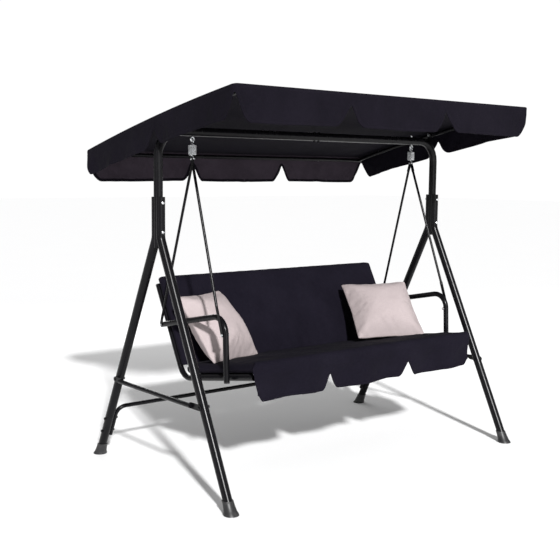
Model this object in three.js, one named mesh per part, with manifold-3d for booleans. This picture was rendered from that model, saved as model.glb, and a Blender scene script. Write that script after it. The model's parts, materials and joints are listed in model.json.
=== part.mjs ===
// Porch swing: two A-frames and a crossbar carry a hanging bench on two coil springs, under a tilting fabric canopy.
// Units are millimetres. +X runs along the bench, -Y is the side the sitter faces, +Z is up, and Z = 0 is the ground.
import * as THREE from "three";
import { mergeVertices } from "three/addons/utils/BufferGeometryUtils.js";
import Module from "manifold-3d";

const wasm = await Module();
wasm.setup();

// ---------- driving dimensions ----------
const GAP = 0.3;
const SIDES = { left: -1, right: 1 };

const FRAME_X = 831; // middle plane of each A-frame
const LEG_R = 19;
const LEG_WALL = 1.5;
const LEG_FOOT_Y = 515; // where a leg's axis meets the ground
const LEG_TOP_Y = 17; // how far a leg's pressed top stands off the post axis
const LEG_TOP_Z = 1200;
const LEG_BEND_Z = 1030;
const LEG_BEND_R = 60;
const LEG_END_Z = 12;
const CRESCENT_BOTTOM_Z = 1004;
const POST_BOTTOM_Z = 992;
const POST_TOP_Z = 1345;
const BAR_Z = 1470;
const BAR_BEND_R = 100;
const BAR_WALL = 2.2;
const SPIGOT_LENGTH = 60;
const JOINT_BOLT_X = [15, 40];
const LEG_BOLT_Z = [1056, 1176];
const BRACE_Z = 384;
const BRACE_R = 9.5;
const STRETCHER_R = 9.5;
const STRETCHER_Z = 238;
const STRETCHER_TAIL_Z = 96;
const STRETCHER_BEND_R = 42;
const STRETCHER_BOLT_Z = [120, 184];

const HANG_X = 664; // plane of the springs
const EYE_RING_R = 8;
const EYE_WIRE_R = 3;
const HOOK_RING_R = 8.5;
const HOOK_PLAY = 0.7;
const SPRING_WIRE_R = 2;
const COIL_R = 16;
const COIL_TURNS = 9;
const COIL_PITCH = 5;

const ARM_X = 671.5;
const SEAT_TUBE_X = 640;
const SEAT_TUBE_R = 12.5;
const SEAT_CORNER = [99.5, 401.7]; // Y and Z where the seat line meets the back line
const SEAT_RISE_DEG = 9.9;
const BACK_LEAN_DEG = 27.9;
const SEAT_DEPTH = 512.7;
const BACK_HEIGHT = 447;
const CUSHION_HALF = 650;
const CUSHION_THICK = 49;

const CANOPY_PIVOT_Z = 1503;
const CANOPY_TUBE_R = 9.5;
const CANOPY_TUBE_X = 812;
const ROOF_HALF = 859.5;
const ROOF_THICK = 3;
const CLOTH_THICK = 3;

// ---------- materials ----------
function finish(name, color, roughness, metalness) {
  const material = new THREE.MeshStandardMaterial({ color, roughness, metalness });
  material.name = name;
  return material;
}
const blackPaint = () => finish("frame_paint", 0x141416, 0.22, 0.0);
const zinc = () => finish("zinc_hardware", 0xb9bcbf, 0.32, 1.0);
const blackPlastic = () => finish("black_plastic", 0x161617, 0.5, 0.0);
const canopyCloth = () => finish("canopy_fabric", 0x28252b, 0.9, 0.0);
const cushionCloth = () => finish("cushion_fabric", 0x2b282e, 0.92, 0.0);
const slingCloth = () => finish("sling_fabric", 0x1c1b1e, 0.85, 0.0);
const pillowCloth = () => finish("pillow_fabric", 0xe6d7d4, 0.95, 0.0);

// ---------- solids ----------
function toManifold(geometry) {
  const bare = geometry.clone();
  bare.deleteAttribute("normal");
  bare.deleteAttribute("uv");
  const merged = mergeVertices(bare, 1e-4);
  return new wasm.Manifold(
    new wasm.Mesh({
      numProp: 3,
      vertProperties: new Float32Array(merged.attributes.position.array),
      triVerts: new Uint32Array(merged.index.array),
    }),
  );
}

function toGeometry(solid) {
  const mesh = solid.getMesh();
  const geometry = new THREE.BufferGeometry();
  const points = new Float32Array(mesh.numVert * 3);
  for (let i = 0; i < mesh.numVert; i++) {
    for (let k = 0; k < 3; k++) points[3 * i + k] = mesh.vertProperties[mesh.numProp * i + k];
  }
  geometry.setAttribute("position", new THREE.BufferAttribute(points, 3));
  geometry.setIndex(new THREE.BufferAttribute(new Uint32Array(mesh.triVerts), 1));
  return geometry;
}

const union = (...solids) => solids.reduce((sum, next) => sum.add(next));

// A path straight from stop to stop, all in one plane.
class StopPath extends THREE.Curve {
  constructor(stops, planeNormal) {
    super();
    this.stops = stops;
    this.planeNormal = planeNormal;
  }

  getPoint(t) {
    const place = t * (this.stops.length - 1);
    const low = Math.min(Math.floor(place), this.stops.length - 2);
    return this.stops[low].clone().lerp(this.stops[low + 1], place - low);
  }

  getSpacedPoints() {
    return this.stops.map((stop) => stop.clone());
  }

  computeFrenetFrames() {
    const last = this.stops.length - 1;
    const tangents = this.stops.map((stop, i) => {
      const ahead = this.stops[Math.min(i + 1, last)];
      const behind = this.stops[Math.max(i - 1, 0)];
      const run = (a, b) => b.clone().sub(a).normalize();
      if (i === 0) return run(stop, ahead);
      if (i === last) return run(behind, stop);
      return run(behind, stop).add(run(stop, ahead)).normalize();
    });
    const normals = tangents.map(() => this.planeNormal.clone());
    const binormals = tangents.map((tangent, i) => tangent.clone().cross(normals[i]));
    return { tangents, normals, binormals };
  }
}

// Straight runs between corners, joined by round bends.
function bentPath(corners, bendRadius, planeNormal, bendStepDeg = 18) {
  const stops = [corners[0]];
  for (let i = 1; i < corners.length - 1; i++) {
    const before = corners[i - 1].clone().sub(corners[i]).normalize();
    const after = corners[i + 1].clone().sub(corners[i]).normalize();
    const turn = Math.PI - before.angleTo(after);
    const reach = bendRadius * Math.tan(turn / 2);
    const start = corners[i].clone().addScaledVector(before, reach);
    const centre = corners[i]
      .clone()
      .addScaledVector(before.clone().add(after).normalize(), bendRadius / Math.cos(turn / 2));
    const spoke = start.clone().sub(centre);
    const axis = before.clone().negate().cross(after).normalize();
    const steps = Math.max(2, Math.ceil((turn * 180) / Math.PI / bendStepDeg));
    for (let k = 0; k <= steps; k++) {
      stops.push(centre.clone().add(spoke.clone().applyAxisAngle(axis, (turn * k) / steps)));
    }
  }
  stops.push(corners[corners.length - 1]);
  return new StopPath(stops, planeNormal);
}

function discShape(radius, segments, holeRadius = 0) {
  const ring = (r) =>
    Array.from({ length: segments }, (_, i) => {
      const angle = (2 * Math.PI * (i + 0.5)) / segments;
      return new THREE.Vector2(r * Math.cos(angle), r * Math.sin(angle));
    });
  const shape = new THREE.Shape(ring(radius));
  if (holeRadius > 0) shape.holes.push(new THREE.Path(ring(holeRadius)));
  return shape;
}

function sweep(shape, path) {
  const steps = path.getSpacedPoints().length - 1;
  return toManifold(new THREE.ExtrudeGeometry(shape, { steps, extrudePath: path, bevelEnabled: false }));
}

// A tube through corners given in the plane of one A-frame, as [Y, Z] pairs at one X.
function tubeInSidePlane(x, corners, radius, bendRadius, wall = 0, segments = 16) {
  const points = corners.map(([y, z]) => new THREE.Vector3(x, y, z));
  const path = bentPath(points, bendRadius, new THREE.Vector3(1, 0, 0));
  return sweep(discShape(radius, segments, wall ? radius - wall : 0), path);
}

// A solid cylinder from one point to another.
function rod(from, to, radius, segments = 14) {
  const a = new THREE.Vector3(...from);
  const b = new THREE.Vector3(...to);
  const length = a.distanceTo(b);
  const geometry = new THREE.CylinderGeometry(radius, radius, length, segments);
  const turn = new THREE.Quaternion().setFromUnitVectors(
    new THREE.Vector3(0, 1, 0),
    b.clone().sub(a).normalize(),
  );
  geometry.applyQuaternion(turn);
  geometry.translate(...a.clone().add(b).multiplyScalar(0.5).toArray());
  return toManifold(geometry);
}

function pipe(from, to, radius, wall, segments = 18) {
  const reach = 1;
  const a = new THREE.Vector3(...from);
  const b = new THREE.Vector3(...to);
  const along = b.clone().sub(a).normalize().multiplyScalar(reach);
  const bore = rod(
    a.clone().sub(along).toArray(),
    b.clone().add(along).toArray(),
    radius - wall,
    segments,
  );
  return rod(from, to, radius, segments).subtract(bore);
}

function box(low, high) {
  const size = high.map((value, i) => value - low[i]);
  const geometry = new THREE.BoxGeometry(...size);
  geometry.translate(...low.map((value, i) => value + size[i] / 2));
  return toManifold(geometry);
}

// A round-ended flat strap lying against an A-frame's side, between two [Y, Z] points.
function strap(x, thickness, from, to, width) {
  const along = new THREE.Vector2(to[0] - from[0], to[1] - from[1]);
  const angle = Math.atan2(along.y, along.x);
  const shape = new THREE.Shape();
  const half = width / 2;
  shape.absarc(0, 0, half, Math.PI / 2, (3 * Math.PI) / 2, false);
  shape.absarc(along.length(), 0, half, -Math.PI / 2, Math.PI / 2, false);
  const geometry = new THREE.ExtrudeGeometry(shape, {
    depth: thickness,
    bevelEnabled: false,
    curveSegments: 5,
  });
  geometry.rotateZ(angle);
  geometry.translate(from[0], from[1], -thickness / 2);
  return toManifold(standInSidePlane(geometry, x));
}

// Turns a geometry drawn in XY (read as Y and Z) and extruded along its Z into one that stands at X = x.
function standInSidePlane(geometry, x) {
  const turn = new THREE.Matrix4().set(0, 0, 1, x, 1, 0, 0, 0, 0, 1, 0, 0, 0, 0, 0, 1);
  return geometry.applyMatrix4(turn);
}

// A bolt along a line: domed head at the start, hexagonal nut at the end.
function bolt(headAt, nutAt, shankRadius, headRadius) {
  const a = new THREE.Vector3(...headAt);
  const b = new THREE.Vector3(...nutAt);
  const length = a.distanceTo(b);
  const headThick = headRadius * 0.6;
  const nutThick = headRadius * 0.75;
  const tailThick = 2;
  const profile = [
    [0, -headThick],
    [headRadius * 0.55, -headThick * 0.9],
    [headRadius, -headThick * 0.3],
    [headRadius, 0],
    [shankRadius, 0],
    [shankRadius, length + nutThick + tailThick],
    [0, length + nutThick + tailThick],
  ].map(([r, y]) => new THREE.Vector2(r, y));
  const shank = toManifold(new THREE.LatheGeometry(profile, 8));
  const nutGeometry = new THREE.CylinderGeometry(headRadius * 0.95, headRadius * 0.95, nutThick, 6);
  nutGeometry.translate(0, length + nutThick / 2, 0);
  const turn = new THREE.Quaternion().setFromUnitVectors(
    new THREE.Vector3(0, 1, 0),
    b.clone().sub(a).normalize(),
  );
  const geometry = toGeometry(shank.add(toManifold(nutGeometry)));
  geometry.applyQuaternion(turn);
  geometry.translate(...headAt);
  return toManifold(geometry);
}

// ---------- assembly ----------
const swing = new THREE.Group();
swing.name = "porch_swing";

function add(name, solid, material) {
  const mesh = new THREE.Mesh(toGeometry(solid), material());
  mesh.name = name;
  swing.add(mesh);
}

// ---------- A-frames ----------
const legSlope = (LEG_FOOT_Y - LEG_TOP_Y) / LEG_BEND_Z;
const legY = (z) => LEG_FOOT_Y - legSlope * z;
const legAxis = (front, zEnd) => [
  [front * LEG_TOP_Y, LEG_TOP_Z],
  [front * LEG_TOP_Y, LEG_BEND_Z],
  [front * legY(zEnd), zEnd],
];

// Heights of the bolts that run sideways through a leg: the side brace, and on a rear leg the stretcher's two.
const legCrossBoltZ = (front) => (front < 0 ? [BRACE_Z] : [BRACE_Z, ...STRETCHER_BOLT_Z]);

function leg(x, front) {
  const outer = tubeInSidePlane(x, legAxis(front, LEG_END_Z), LEG_R, LEG_BEND_R);
  const lowerEnd = [front * legY(LEG_END_Z - 6), LEG_END_Z - 6];
  const boreTop = [front * legY(CRESCENT_BOTTOM_Z - 50), CRESCENT_BOTTOM_Z - 50];
  const bore = rod([x, ...lowerEnd], [x, ...boreTop], LEG_R - LEG_WALL, 18);
  const postRoom = rod([x, 0, POST_BOTTOM_Z - 20], [x, 0, LEG_TOP_Z + 20], LEG_R + GAP, 18);
  const halfSpace = box([x - 60, front > 0 ? -60 : GAP / 2, 900], [x + 60, front > 0 ? -GAP / 2 : 60, 1300]);
  let solid = outer.subtract(bore).subtract(postRoom).subtract(halfSpace);
  for (const z of LEG_BOLT_Z) solid = solid.subtract(rod([x, -60, z], [x, 60, z], 3 + GAP, 8));
  for (const z of legCrossBoltZ(front)) {
    const y = front * legY(z);
    solid = solid.subtract(rod([x - 40, y, z], [x + 40, y, z], 3 + GAP, 8));
  }
  return solid;
}

// A flared plastic shoe around the leg's lower end, flat on the ground.
function foot(x, front) {
  const profile = [
    [0, 0],
    [31, 0],
    [31, 5],
    [27, 13],
    [24, 34],
    [23, 52],
    [0, 52],
  ].map(([r, y]) => new THREE.Vector2(r, y));
  const geometry = new THREE.LatheGeometry(profile, 20);
  geometry.rotateX(Math.PI / 2);
  const skew = new THREE.Matrix4().makeShear(0, 0, 0, 0, 0, -front * legSlope);
  geometry.applyMatrix4(skew);
  geometry.translate(x, front * legY(0), 0);
  const low = LEG_END_Z - GAP;
  const high = 90;
  const socket = rod(
    [x, front * legY(low), low],
    [x, front * legY(high), high],
    LEG_R + GAP,
    20,
  );
  return toManifold(geometry).subtract(socket);
}

// The side brace lies on the outer face of both legs, pressed flat at its ends, with its two bolts in place.
function brace(side) {
  const legFace = FRAME_X + LEG_R + GAP;
  const x = side * (legFace + 2);
  const endY = legY(BRACE_Z);
  const tubeX = side * (legFace + BRACE_R);
  const tube = rod([tubeX, -endY + 50, BRACE_Z], [tubeX, endY - 50, BRACE_Z], BRACE_R);
  let solid = tube;
  for (const front of [-1, 1]) {
    const flat = strap(x, 4, [front * endY, BRACE_Z], [front * (endY - 60), BRACE_Z], 24);
    const headX = side * (legFace + 4);
    const nutX = side * (FRAME_X - LEG_R - GAP);
    const screw = bolt([headX, front * endY, BRACE_Z], [nutX, front * endY, BRACE_Z], 3, 7);
    solid = solid.add(flat).add(screw);
  }
  return solid;
}

// The rear stretcher crosses behind the seat; its ends turn down along the inner faces of the rear legs.
const stretcherEndX = FRAME_X - LEG_R - GAP - STRETCHER_R;
function stretcher() {
  const tail = [stretcherEndX, legY(STRETCHER_TAIL_Z), STRETCHER_TAIL_Z];
  const topCorner = [stretcherEndX, legY(STRETCHER_Z), STRETCHER_Z];
  const down = new THREE.Vector3(0, tail[1] - topCorner[1], tail[2] - topCorner[2]).normalize();
  const corners = [
    new THREE.Vector3(-tail[0], tail[1], tail[2]),
    new THREE.Vector3(-topCorner[0], topCorner[1], topCorner[2]),
    new THREE.Vector3(topCorner[0], topCorner[1], topCorner[2]),
    new THREE.Vector3(...tail),
  ];
  const normal = new THREE.Vector3(1, 0, 0).cross(down).normalize();
  let solid = sweep(discShape(STRETCHER_R, 12), bentPath(corners, STRETCHER_BEND_R, normal, 22));
  for (const side of Object.values(SIDES)) {
    for (const z of STRETCHER_BOLT_Z) {
      const headX = side * (stretcherEndX - STRETCHER_R);
      const nutX = side * (FRAME_X + LEG_R + GAP);
      solid = solid.add(bolt([headX, legY(z), z], [nutX, legY(z), z], 3, 7));
    }
  }
  return solid;
}

for (const [name, side] of Object.entries(SIDES)) {
  const x = side * FRAME_X;
  for (const [end, front] of [["front", -1], ["rear", 1]]) {
    add(`leg_${end}_${name}`, leg(x, front), blackPaint);
    add(`foot_${end}_${name}`, foot(x, front), blackPlastic);
  }
  add(`brace_${name}`, brace(side), blackPaint);
  LEG_BOLT_Z.forEach((z, i) => {
    const reach = LEG_TOP_Y + LEG_R + GAP;
    add(`post_bolt_${i + 1}_${name}`, bolt([x, -reach, z], [x, reach, z], 3, 7), zinc);
  });
}
add("rear_stretcher", stretcher(), blackPaint);

// ---------- posts and crossbar ----------
function post(side) {
  const x = side * FRAME_X;
  let solid = pipe([x, 0, POST_BOTTOM_Z], [x, 0, POST_TOP_Z], LEG_R, LEG_WALL, 18);
  for (const z of LEG_BOLT_Z) solid = solid.subtract(rod([x, -60, z], [x, 60, z], 3 + GAP, 8));
  return solid;
}

const barBore = LEG_R - BAR_WALL;
const barSpigotR = barBore - GAP;
const postSpigotR = LEG_R - LEG_WALL - GAP;

// One half of the crossbar: a spigot in the post, a bend, and the run to the middle of the swing.
// The left half also has the spigot that enters the right half, and the two bolts that pin them together.
function crossbar(side) {
  const x = side * FRAME_X;
  const corners = [
    new THREE.Vector3(x, 0, POST_TOP_Z + GAP),
    new THREE.Vector3(x, 0, BAR_Z),
    new THREE.Vector3((side * GAP) / 2, 0, BAR_Z),
  ];
  const path = bentPath(corners, BAR_BEND_R, new THREE.Vector3(0, 1, 0), 13);
  let solid = sweep(discShape(LEG_R, 18, barBore), path);
  const low = POST_TOP_Z - SPIGOT_LENGTH;
  const spigot = pipe([x, 0, low], [x, 0, POST_TOP_Z + 6], postSpigotR, 3.4, 18);
  solid = solid.add(spigot);
  if (side < 0) {
    const middle = pipe([-20, 0, BAR_Z], [SPIGOT_LENGTH, 0, BAR_Z], barSpigotR, 2, 18);
    const shoulder = pipe([-20, 0, BAR_Z], [-3, 0, BAR_Z], barBore + 0.4, 2, 18);
    solid = solid.add(middle).add(shoulder);
  }
  const reach = LEG_R + GAP;
  for (const boltX of JOINT_BOLT_X) {
    solid =
      side < 0
        ? solid.add(bolt([boltX, 0, BAR_Z + reach], [boltX, 0, BAR_Z - reach], 3, 6))
        : solid.subtract(rod([boltX, 0, BAR_Z - 40], [boltX, 0, BAR_Z + 40], 3 + GAP, 8));
  }
  const eyeX = side * HANG_X;
  return solid.subtract(rod([eyeX, 0, BAR_Z - 40], [eyeX, 0, BAR_Z + 40], EYE_WIRE_R + GAP, 8));
}

// The hanging eye: a ring under the bar, its shank up through the bar, and a nut on top.
const eyeCentreZ = BAR_Z - LEG_R - GAP - EYE_RING_R - EYE_WIRE_R;
const pivotZ = eyeCentreZ - EYE_RING_R;
function eyeBolt(side) {
  const x = side * HANG_X;
  const ring = new THREE.TorusGeometry(EYE_RING_R, EYE_WIRE_R, 8, 14);
  ring.rotateX(Math.PI / 2);
  ring.translate(x, 0, eyeCentreZ);
  const shankTop = BAR_Z + LEG_R + GAP + 7;
  const shank = rod([x, 0, eyeCentreZ + EYE_RING_R], [x, 0, shankTop], EYE_WIRE_R, 12);
  const nut = rod([x, 0, BAR_Z + LEG_R + GAP], [x, 0, BAR_Z + LEG_R + GAP + 5], 6, 6);
  return union(toManifold(ring), shank, nut);
}

// A plate saddled on the crossbar's bend; the canopy's side tube is clamped to it.
const BRACKET_X = 798;
function canopyBracket(side) {
  const x = side * BRACKET_X;
  const plate = strap(x, 4, [0, 1470], [0, CANOPY_PIVOT_Z], 20);
  const corners = [
    new THREE.Vector3(side * FRAME_X, 0, POST_TOP_Z),
    new THREE.Vector3(side * FRAME_X, 0, BAR_Z),
    new THREE.Vector3(side * 600, 0, BAR_Z),
  ];
  const bendRoom = sweep(
    discShape(LEG_R + GAP, 18),
    bentPath(corners, BAR_BEND_R, new THREE.Vector3(0, 1, 0), 13),
  );
  const below = box([x - 20, -40, 1380], [x + 20, 40, 1457]);
  const hole = rod([x - 20, 0, CANOPY_PIVOT_Z], [x + 20, 0, CANOPY_PIVOT_Z], 4 + GAP, 12);
  return plate.subtract(below).subtract(bendRoom).subtract(hole);
}

for (const [name, side] of Object.entries(SIDES)) {
  add(`post_${name}`, post(side), blackPaint);
  add(`crossbar_${name}`, crossbar(side), blackPaint);
  add(`eye_bolt_${name}`, eyeBolt(side), zinc);
  add(`canopy_bracket_${name}`, canopyBracket(side), blackPaint);
}

// ---------- springs ----------
const hookTopZ = pivotZ + EYE_WIRE_R + HOOK_PLAY + SPRING_WIRE_R - HOOK_RING_R; // centre of the upper hook
const coilTopZ = hookTopZ - HOOK_RING_R - 3;
const coilBottomZ = coilTopZ - COIL_TURNS * COIL_PITCH;
const hookLowZ = coilBottomZ - 3 - HOOK_RING_R; // centre of the lower hook
const hangBoltZ = hookLowZ - HOOK_RING_R + SPRING_WIRE_R + HOOK_PLAY + 3;

function spring(side) {
  const x = side * HANG_X;
  const points = [];
  const hookSteps = 9;
  const openTurn = 5.2; // radians of the ring that each hook covers
  for (let i = 0; i <= hookSteps; i++) {
    const angle = -Math.PI / 2 + openTurn - (openTurn * i) / hookSteps;
    points.push([0, HOOK_RING_R * Math.cos(angle), hookTopZ + HOOK_RING_R * Math.sin(angle)]);
  }
  const perTurn = 12;
  for (let i = 2; i <= COIL_TURNS * perTurn - 2; i++) {
    const angle = -Math.PI / 2 + (2 * Math.PI * i) / perTurn;
    const z = coilTopZ - (COIL_PITCH * i) / perTurn;
    points.push([COIL_R * Math.cos(angle), COIL_R * Math.sin(angle), z]);
  }
  for (let i = 0; i <= hookSteps; i++) {
    const angle = Math.PI / 2 + (openTurn * i) / hookSteps;
    points.push([0, HOOK_RING_R * Math.cos(angle), hookLowZ + HOOK_RING_R * Math.sin(angle)]);
  }
  const curve = new THREE.CatmullRomCurve3(
    points.map(([dx, y, z]) => new THREE.Vector3(x + dx, y, z)),
    false,
    "centripetal",
  );
  const steps = 110;
  return toManifold(
    new THREE.ExtrudeGeometry(discShape(SPRING_WIRE_R, 6), { steps, extrudePath: curve, bevelEnabled: false }),
  );
}

for (const [name, side] of Object.entries(SIDES)) add(`spring_${name}`, spring(side), zinc);

// ---------- hanger rods ----------
const ROD_R = 6;
const PLATE_THICK = 3;
const PLATE_WIDTH = 16;
const rodFoot = { front: [-249, 645], rear: [214, 630] };
const ROD_FOOT_X = ARM_X + SEAT_TUBE_R + GAP + PLATE_THICK / 2; // the rods' lower flats lie on the arms' outer faces
const rodFlat = { front: 120, rear: 26 }; // how far up a rod its lower flat reaches

// One hanger rod, spreading outward from its spring: pressed flat at both ends, with a hole in each flat.
function hangerRod(side, end) {
  const outward = end === "front" ? 1 : -1;
  const topX = side * (HANG_X + outward * 4);
  const lowX = side * ROD_FOOT_X;
  const top = [0, hangBoltZ];
  const low = rodFoot[end];
  const length = Math.hypot(low[0] - top[0], low[1] - top[1]);
  const at = (distance) => [
    top[0] + ((low[0] - top[0]) * distance) / length,
    top[1] + ((low[1] - top[1]) * distance) / length,
  ];
  const roundEnd = length - rodFlat[end];
  const round = rod([topX - side * outward, ...at(30)], [lowX, ...at(roundEnd)], ROD_R, 12);
  const topPlate = strap(topX, PLATE_THICK, top, at(40), PLATE_WIDTH);
  const lowPlate = strap(lowX, PLATE_THICK, at(roundEnd - 12), low, PLATE_WIDTH);
  const topHole = rod([topX - 15, ...top], [topX + 15, ...top], 3 + GAP, 8);
  const lowHole = rod([lowX - 15, ...low], [lowX + 15, ...low], 3 + GAP, 8);
  return union(round, topPlate, lowPlate).subtract(topHole).subtract(lowHole);
}

for (const [name, side] of Object.entries(SIDES)) {
  for (const end of ["front", "rear"]) add(`hanger_${end}_${name}`, hangerRod(side, end), blackPaint);
  const reach = 4 + PLATE_THICK / 2 + GAP;
  const outX = side * (HANG_X + reach);
  const inX = side * (HANG_X - reach);
  add(`hanger_bolt_${name}`, bolt([outX, 0, hangBoltZ], [inX, 0, hangBoltZ], 3, 5.5), zinc);
}

// ---------- bench frame ----------
const rad = Math.PI / 180;
const seatDir = [-Math.cos(SEAT_RISE_DEG * rad), Math.sin(SEAT_RISE_DEG * rad)];
const seatUp = [Math.sin(SEAT_RISE_DEG * rad), Math.cos(SEAT_RISE_DEG * rad)];
const backDir = [Math.sin(BACK_LEAN_DEG * rad), Math.cos(BACK_LEAN_DEG * rad)];
const backOut = [-Math.cos(BACK_LEAN_DEG * rad), Math.sin(BACK_LEAN_DEG * rad)];
const mix = (dir, along, normal, off) => [
  SEAT_CORNER[0] + dir[0] * along + normal[0] * off,
  SEAT_CORNER[1] + dir[1] * along + normal[1] * off,
];
// A point measured along the seat from the corner, and up from the tube's axis.
const onSeat = (along, up = 0) => mix(seatDir, along, seatUp, up);
// The same along the back, and out from it towards the sitter.
const onBack = (along, out = 0) => mix(backDir, along, backOut, out);

function seatSide(side) {
  const x = side * SEAT_TUBE_X;
  const corners = [onSeat(SEAT_DEPTH), [...SEAT_CORNER], onBack(BACK_HEIGHT)];
  const solid = tubeInSidePlane(x, corners, SEAT_TUBE_R, 70, 1.2, 14);
  const [y, z] = rodFoot.rear;
  return solid.subtract(rod([x - 30, y, z], [x + 30, y, z], 3 + GAP, 8));
}

// A bent tube arm: from the back tube forward and slightly up, then down past the seat tube.
const ARM_PATH = [
  [228, 627],
  [-250.5, 725],
  [-263, 452],
];
function arm(side) {
  const x = side * ARM_X;
  const solid = tubeInSidePlane(x, ARM_PATH, SEAT_TUBE_R, 65, 1.2, 14);
  const bolts = [rodFoot.front, rodFoot.rear];
  return bolts.reduce(
    (cut, [y, z]) => cut.subtract(rod([x - 30, y, z], [x + 30, y, z], 3 + GAP, 8)),
    solid,
  );
}

function armCap(side) {
  const [inner, outer] = [ARM_PATH[1], ARM_PATH[2]];
  const length = Math.hypot(outer[0] - inner[0], outer[1] - inner[1]);
  const step = (d) => [
    outer[0] + ((outer[0] - inner[0]) * d) / length,
    outer[1] + ((outer[1] - inner[1]) * d) / length,
  ];
  const x = side * ARM_X;
  const lip = rod([x, ...step(GAP)], [x, ...step(5)], SEAT_TUBE_R, 16);
  const plug = rod([x, ...step(-12)], [x, ...step(2)], SEAT_TUBE_R - 1.2 - GAP, 16);
  return lip.add(plug);
}

for (const [name, side] of Object.entries(SIDES)) {
  add(`seat_side_${name}`, seatSide(side), blackPaint);
  add(`arm_${name}`, arm(side), blackPaint);
  add(`arm_cap_${name}`, armCap(side), blackPlastic);
  const rodOut = side * (ROD_FOOT_X + PLATE_THICK / 2 + GAP);
  const armIn = side * (ARM_X - SEAT_TUBE_R - GAP);
  const tubeIn = side * (SEAT_TUBE_X - SEAT_TUBE_R - GAP);
  add(`arm_bolt_front_${name}`, bolt([rodOut, ...rodFoot.front], [armIn, ...rodFoot.front], 3, 7), zinc);
  add(`arm_bolt_rear_${name}`, bolt([rodOut, ...rodFoot.rear], [tubeIn, ...rodFoot.rear], 3, 7), zinc);
}

// Straight tubes across the bench: its front edge and the top of its back.
const acrossHalf = SEAT_TUBE_X - SEAT_TUBE_R - GAP;
const across = (y, z) => pipe([-acrossHalf, y, z], [acrossHalf, y, z], SEAT_TUBE_R, 1.2, 16);
add("seat_front_tube", across(...onSeat(SEAT_DEPTH - SEAT_TUBE_R)), blackPaint);
add("back_top_tube", across(...onBack(BACK_HEIGHT - SEAT_TUBE_R)), blackPaint);

// A slab with straight edges, given by its outline in the plane of the bench's side, run along the bench.
function slab(outline, half) {
  const shape = new THREE.Shape(outline.map(([y, z]) => new THREE.Vector2(y, z)));
  const geometry = new THREE.ExtrudeGeometry(shape, { depth: 2 * half, bevelEnabled: false });
  return toManifold(standInSidePlane(geometry, -half));
}

const slingLow = SEAT_TUBE_R + GAP;
const slingHigh = slingLow + 2;
const slingHalf = SEAT_TUBE_X + SEAT_TUBE_R - 2;
const stripe = (at, from, to, low, high) => [at(from, low), at(to, low), at(to, high), at(from, high)];
add("seat_sling", slab(stripe(onSeat, 62, SEAT_DEPTH - 4, slingLow, slingHigh), slingHalf), slingCloth);
add("back_sling", slab(stripe(onBack, 62, BACK_HEIGHT - 4, slingLow, slingHigh), slingHalf), slingCloth);

// ---------- cushions ----------
// A cushion section between two heights off the frame: mitred where seat and back meet, rounded at its far end.
const CORNER_HALF_ANGLE = ((90 - SEAT_RISE_DEG + BACK_LEAN_DEG) / 2) * rad;
function cushionOutline(at, to, low, high) {
  const mid = (low + high) / 2;
  const half = (high - low) / 2;
  const tubeClear = 28; // height at which the mitre starts, clear of the side tubes' bends
  const mitre = (off) => off / Math.tan(CORNER_HALF_ANGLE) + 2 * GAP;
  const points = [at(mitre(high), high), at(mitre(tubeClear), tubeClear), at(53, low)];
  const roundSteps = 8;
  for (let i = 0; i <= roundSteps; i++) {
    const angle = -Math.PI / 2 + (Math.PI * i) / roundSteps;
    points.push(at(to - half + half * Math.cos(angle), mid + half * Math.sin(angle)));
  }
  return points;
}

const cushionLow = slingHigh + GAP;
const cushionHigh = cushionLow + CUSHION_THICK;
const SEAT_FRONT = 542;
const BACK_TOP = 469;
const SKIRT_BOTTOM_Z = 404;
const SKIRT_Y = -422.5;
const SKIRT_NOTCHES = [-244, 216];

// The front flap that hangs from the seat cushion, cut into scallops.
function skirtFlap() {
  const top = 520;
  const notchTop = 462;
  const round = 22;
  const notchHalf = 38;
  const left = -CUSHION_HALF + 6;
  const right = CUSHION_HALF - 6;
  const shape = new THREE.Shape();
  shape.moveTo(left, top);
  shape.lineTo(left + 6, SKIRT_BOTTOM_Z + round);
  shape.quadraticCurveTo(left + 8, SKIRT_BOTTOM_Z, left + round + 8, SKIRT_BOTTOM_Z);
  for (const x of SKIRT_NOTCHES) {
    shape.lineTo(x - notchHalf - round, SKIRT_BOTTOM_Z);
    shape.quadraticCurveTo(x - notchHalf, SKIRT_BOTTOM_Z, x - notchHalf + 10, SKIRT_BOTTOM_Z + round);
    shape.lineTo(x - 9, notchTop - 6);
    shape.quadraticCurveTo(x, notchTop + 4, x + 9, notchTop - 6);
    shape.lineTo(x + notchHalf - 10, SKIRT_BOTTOM_Z + round);
    shape.quadraticCurveTo(x + notchHalf, SKIRT_BOTTOM_Z, x + notchHalf + round, SKIRT_BOTTOM_Z);
  }
  shape.lineTo(right - round, SKIRT_BOTTOM_Z);
  shape.quadraticCurveTo(right, SKIRT_BOTTOM_Z, right, SKIRT_BOTTOM_Z + round);
  shape.lineTo(right, top);
  shape.closePath();
  const geometry = new THREE.ExtrudeGeometry(shape, { depth: CLOTH_THICK, bevelEnabled: false, curveSegments: 4 });
  geometry.rotateX(Math.PI / 2);
  geometry.translate(0, SKIRT_Y + CLOTH_THICK / 2, 0);
  return toManifold(geometry);
}

const seatPad = slab(cushionOutline(onSeat, SEAT_FRONT, cushionLow, cushionHigh), CUSHION_HALF);
add("seat_cushion", seatPad.add(skirtFlap()), cushionCloth);
const backPad = slab(cushionOutline(onBack, BACK_TOP, cushionLow, cushionHigh), CUSHION_HALF);
add("back_cushion", backPad, cushionCloth);

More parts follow.
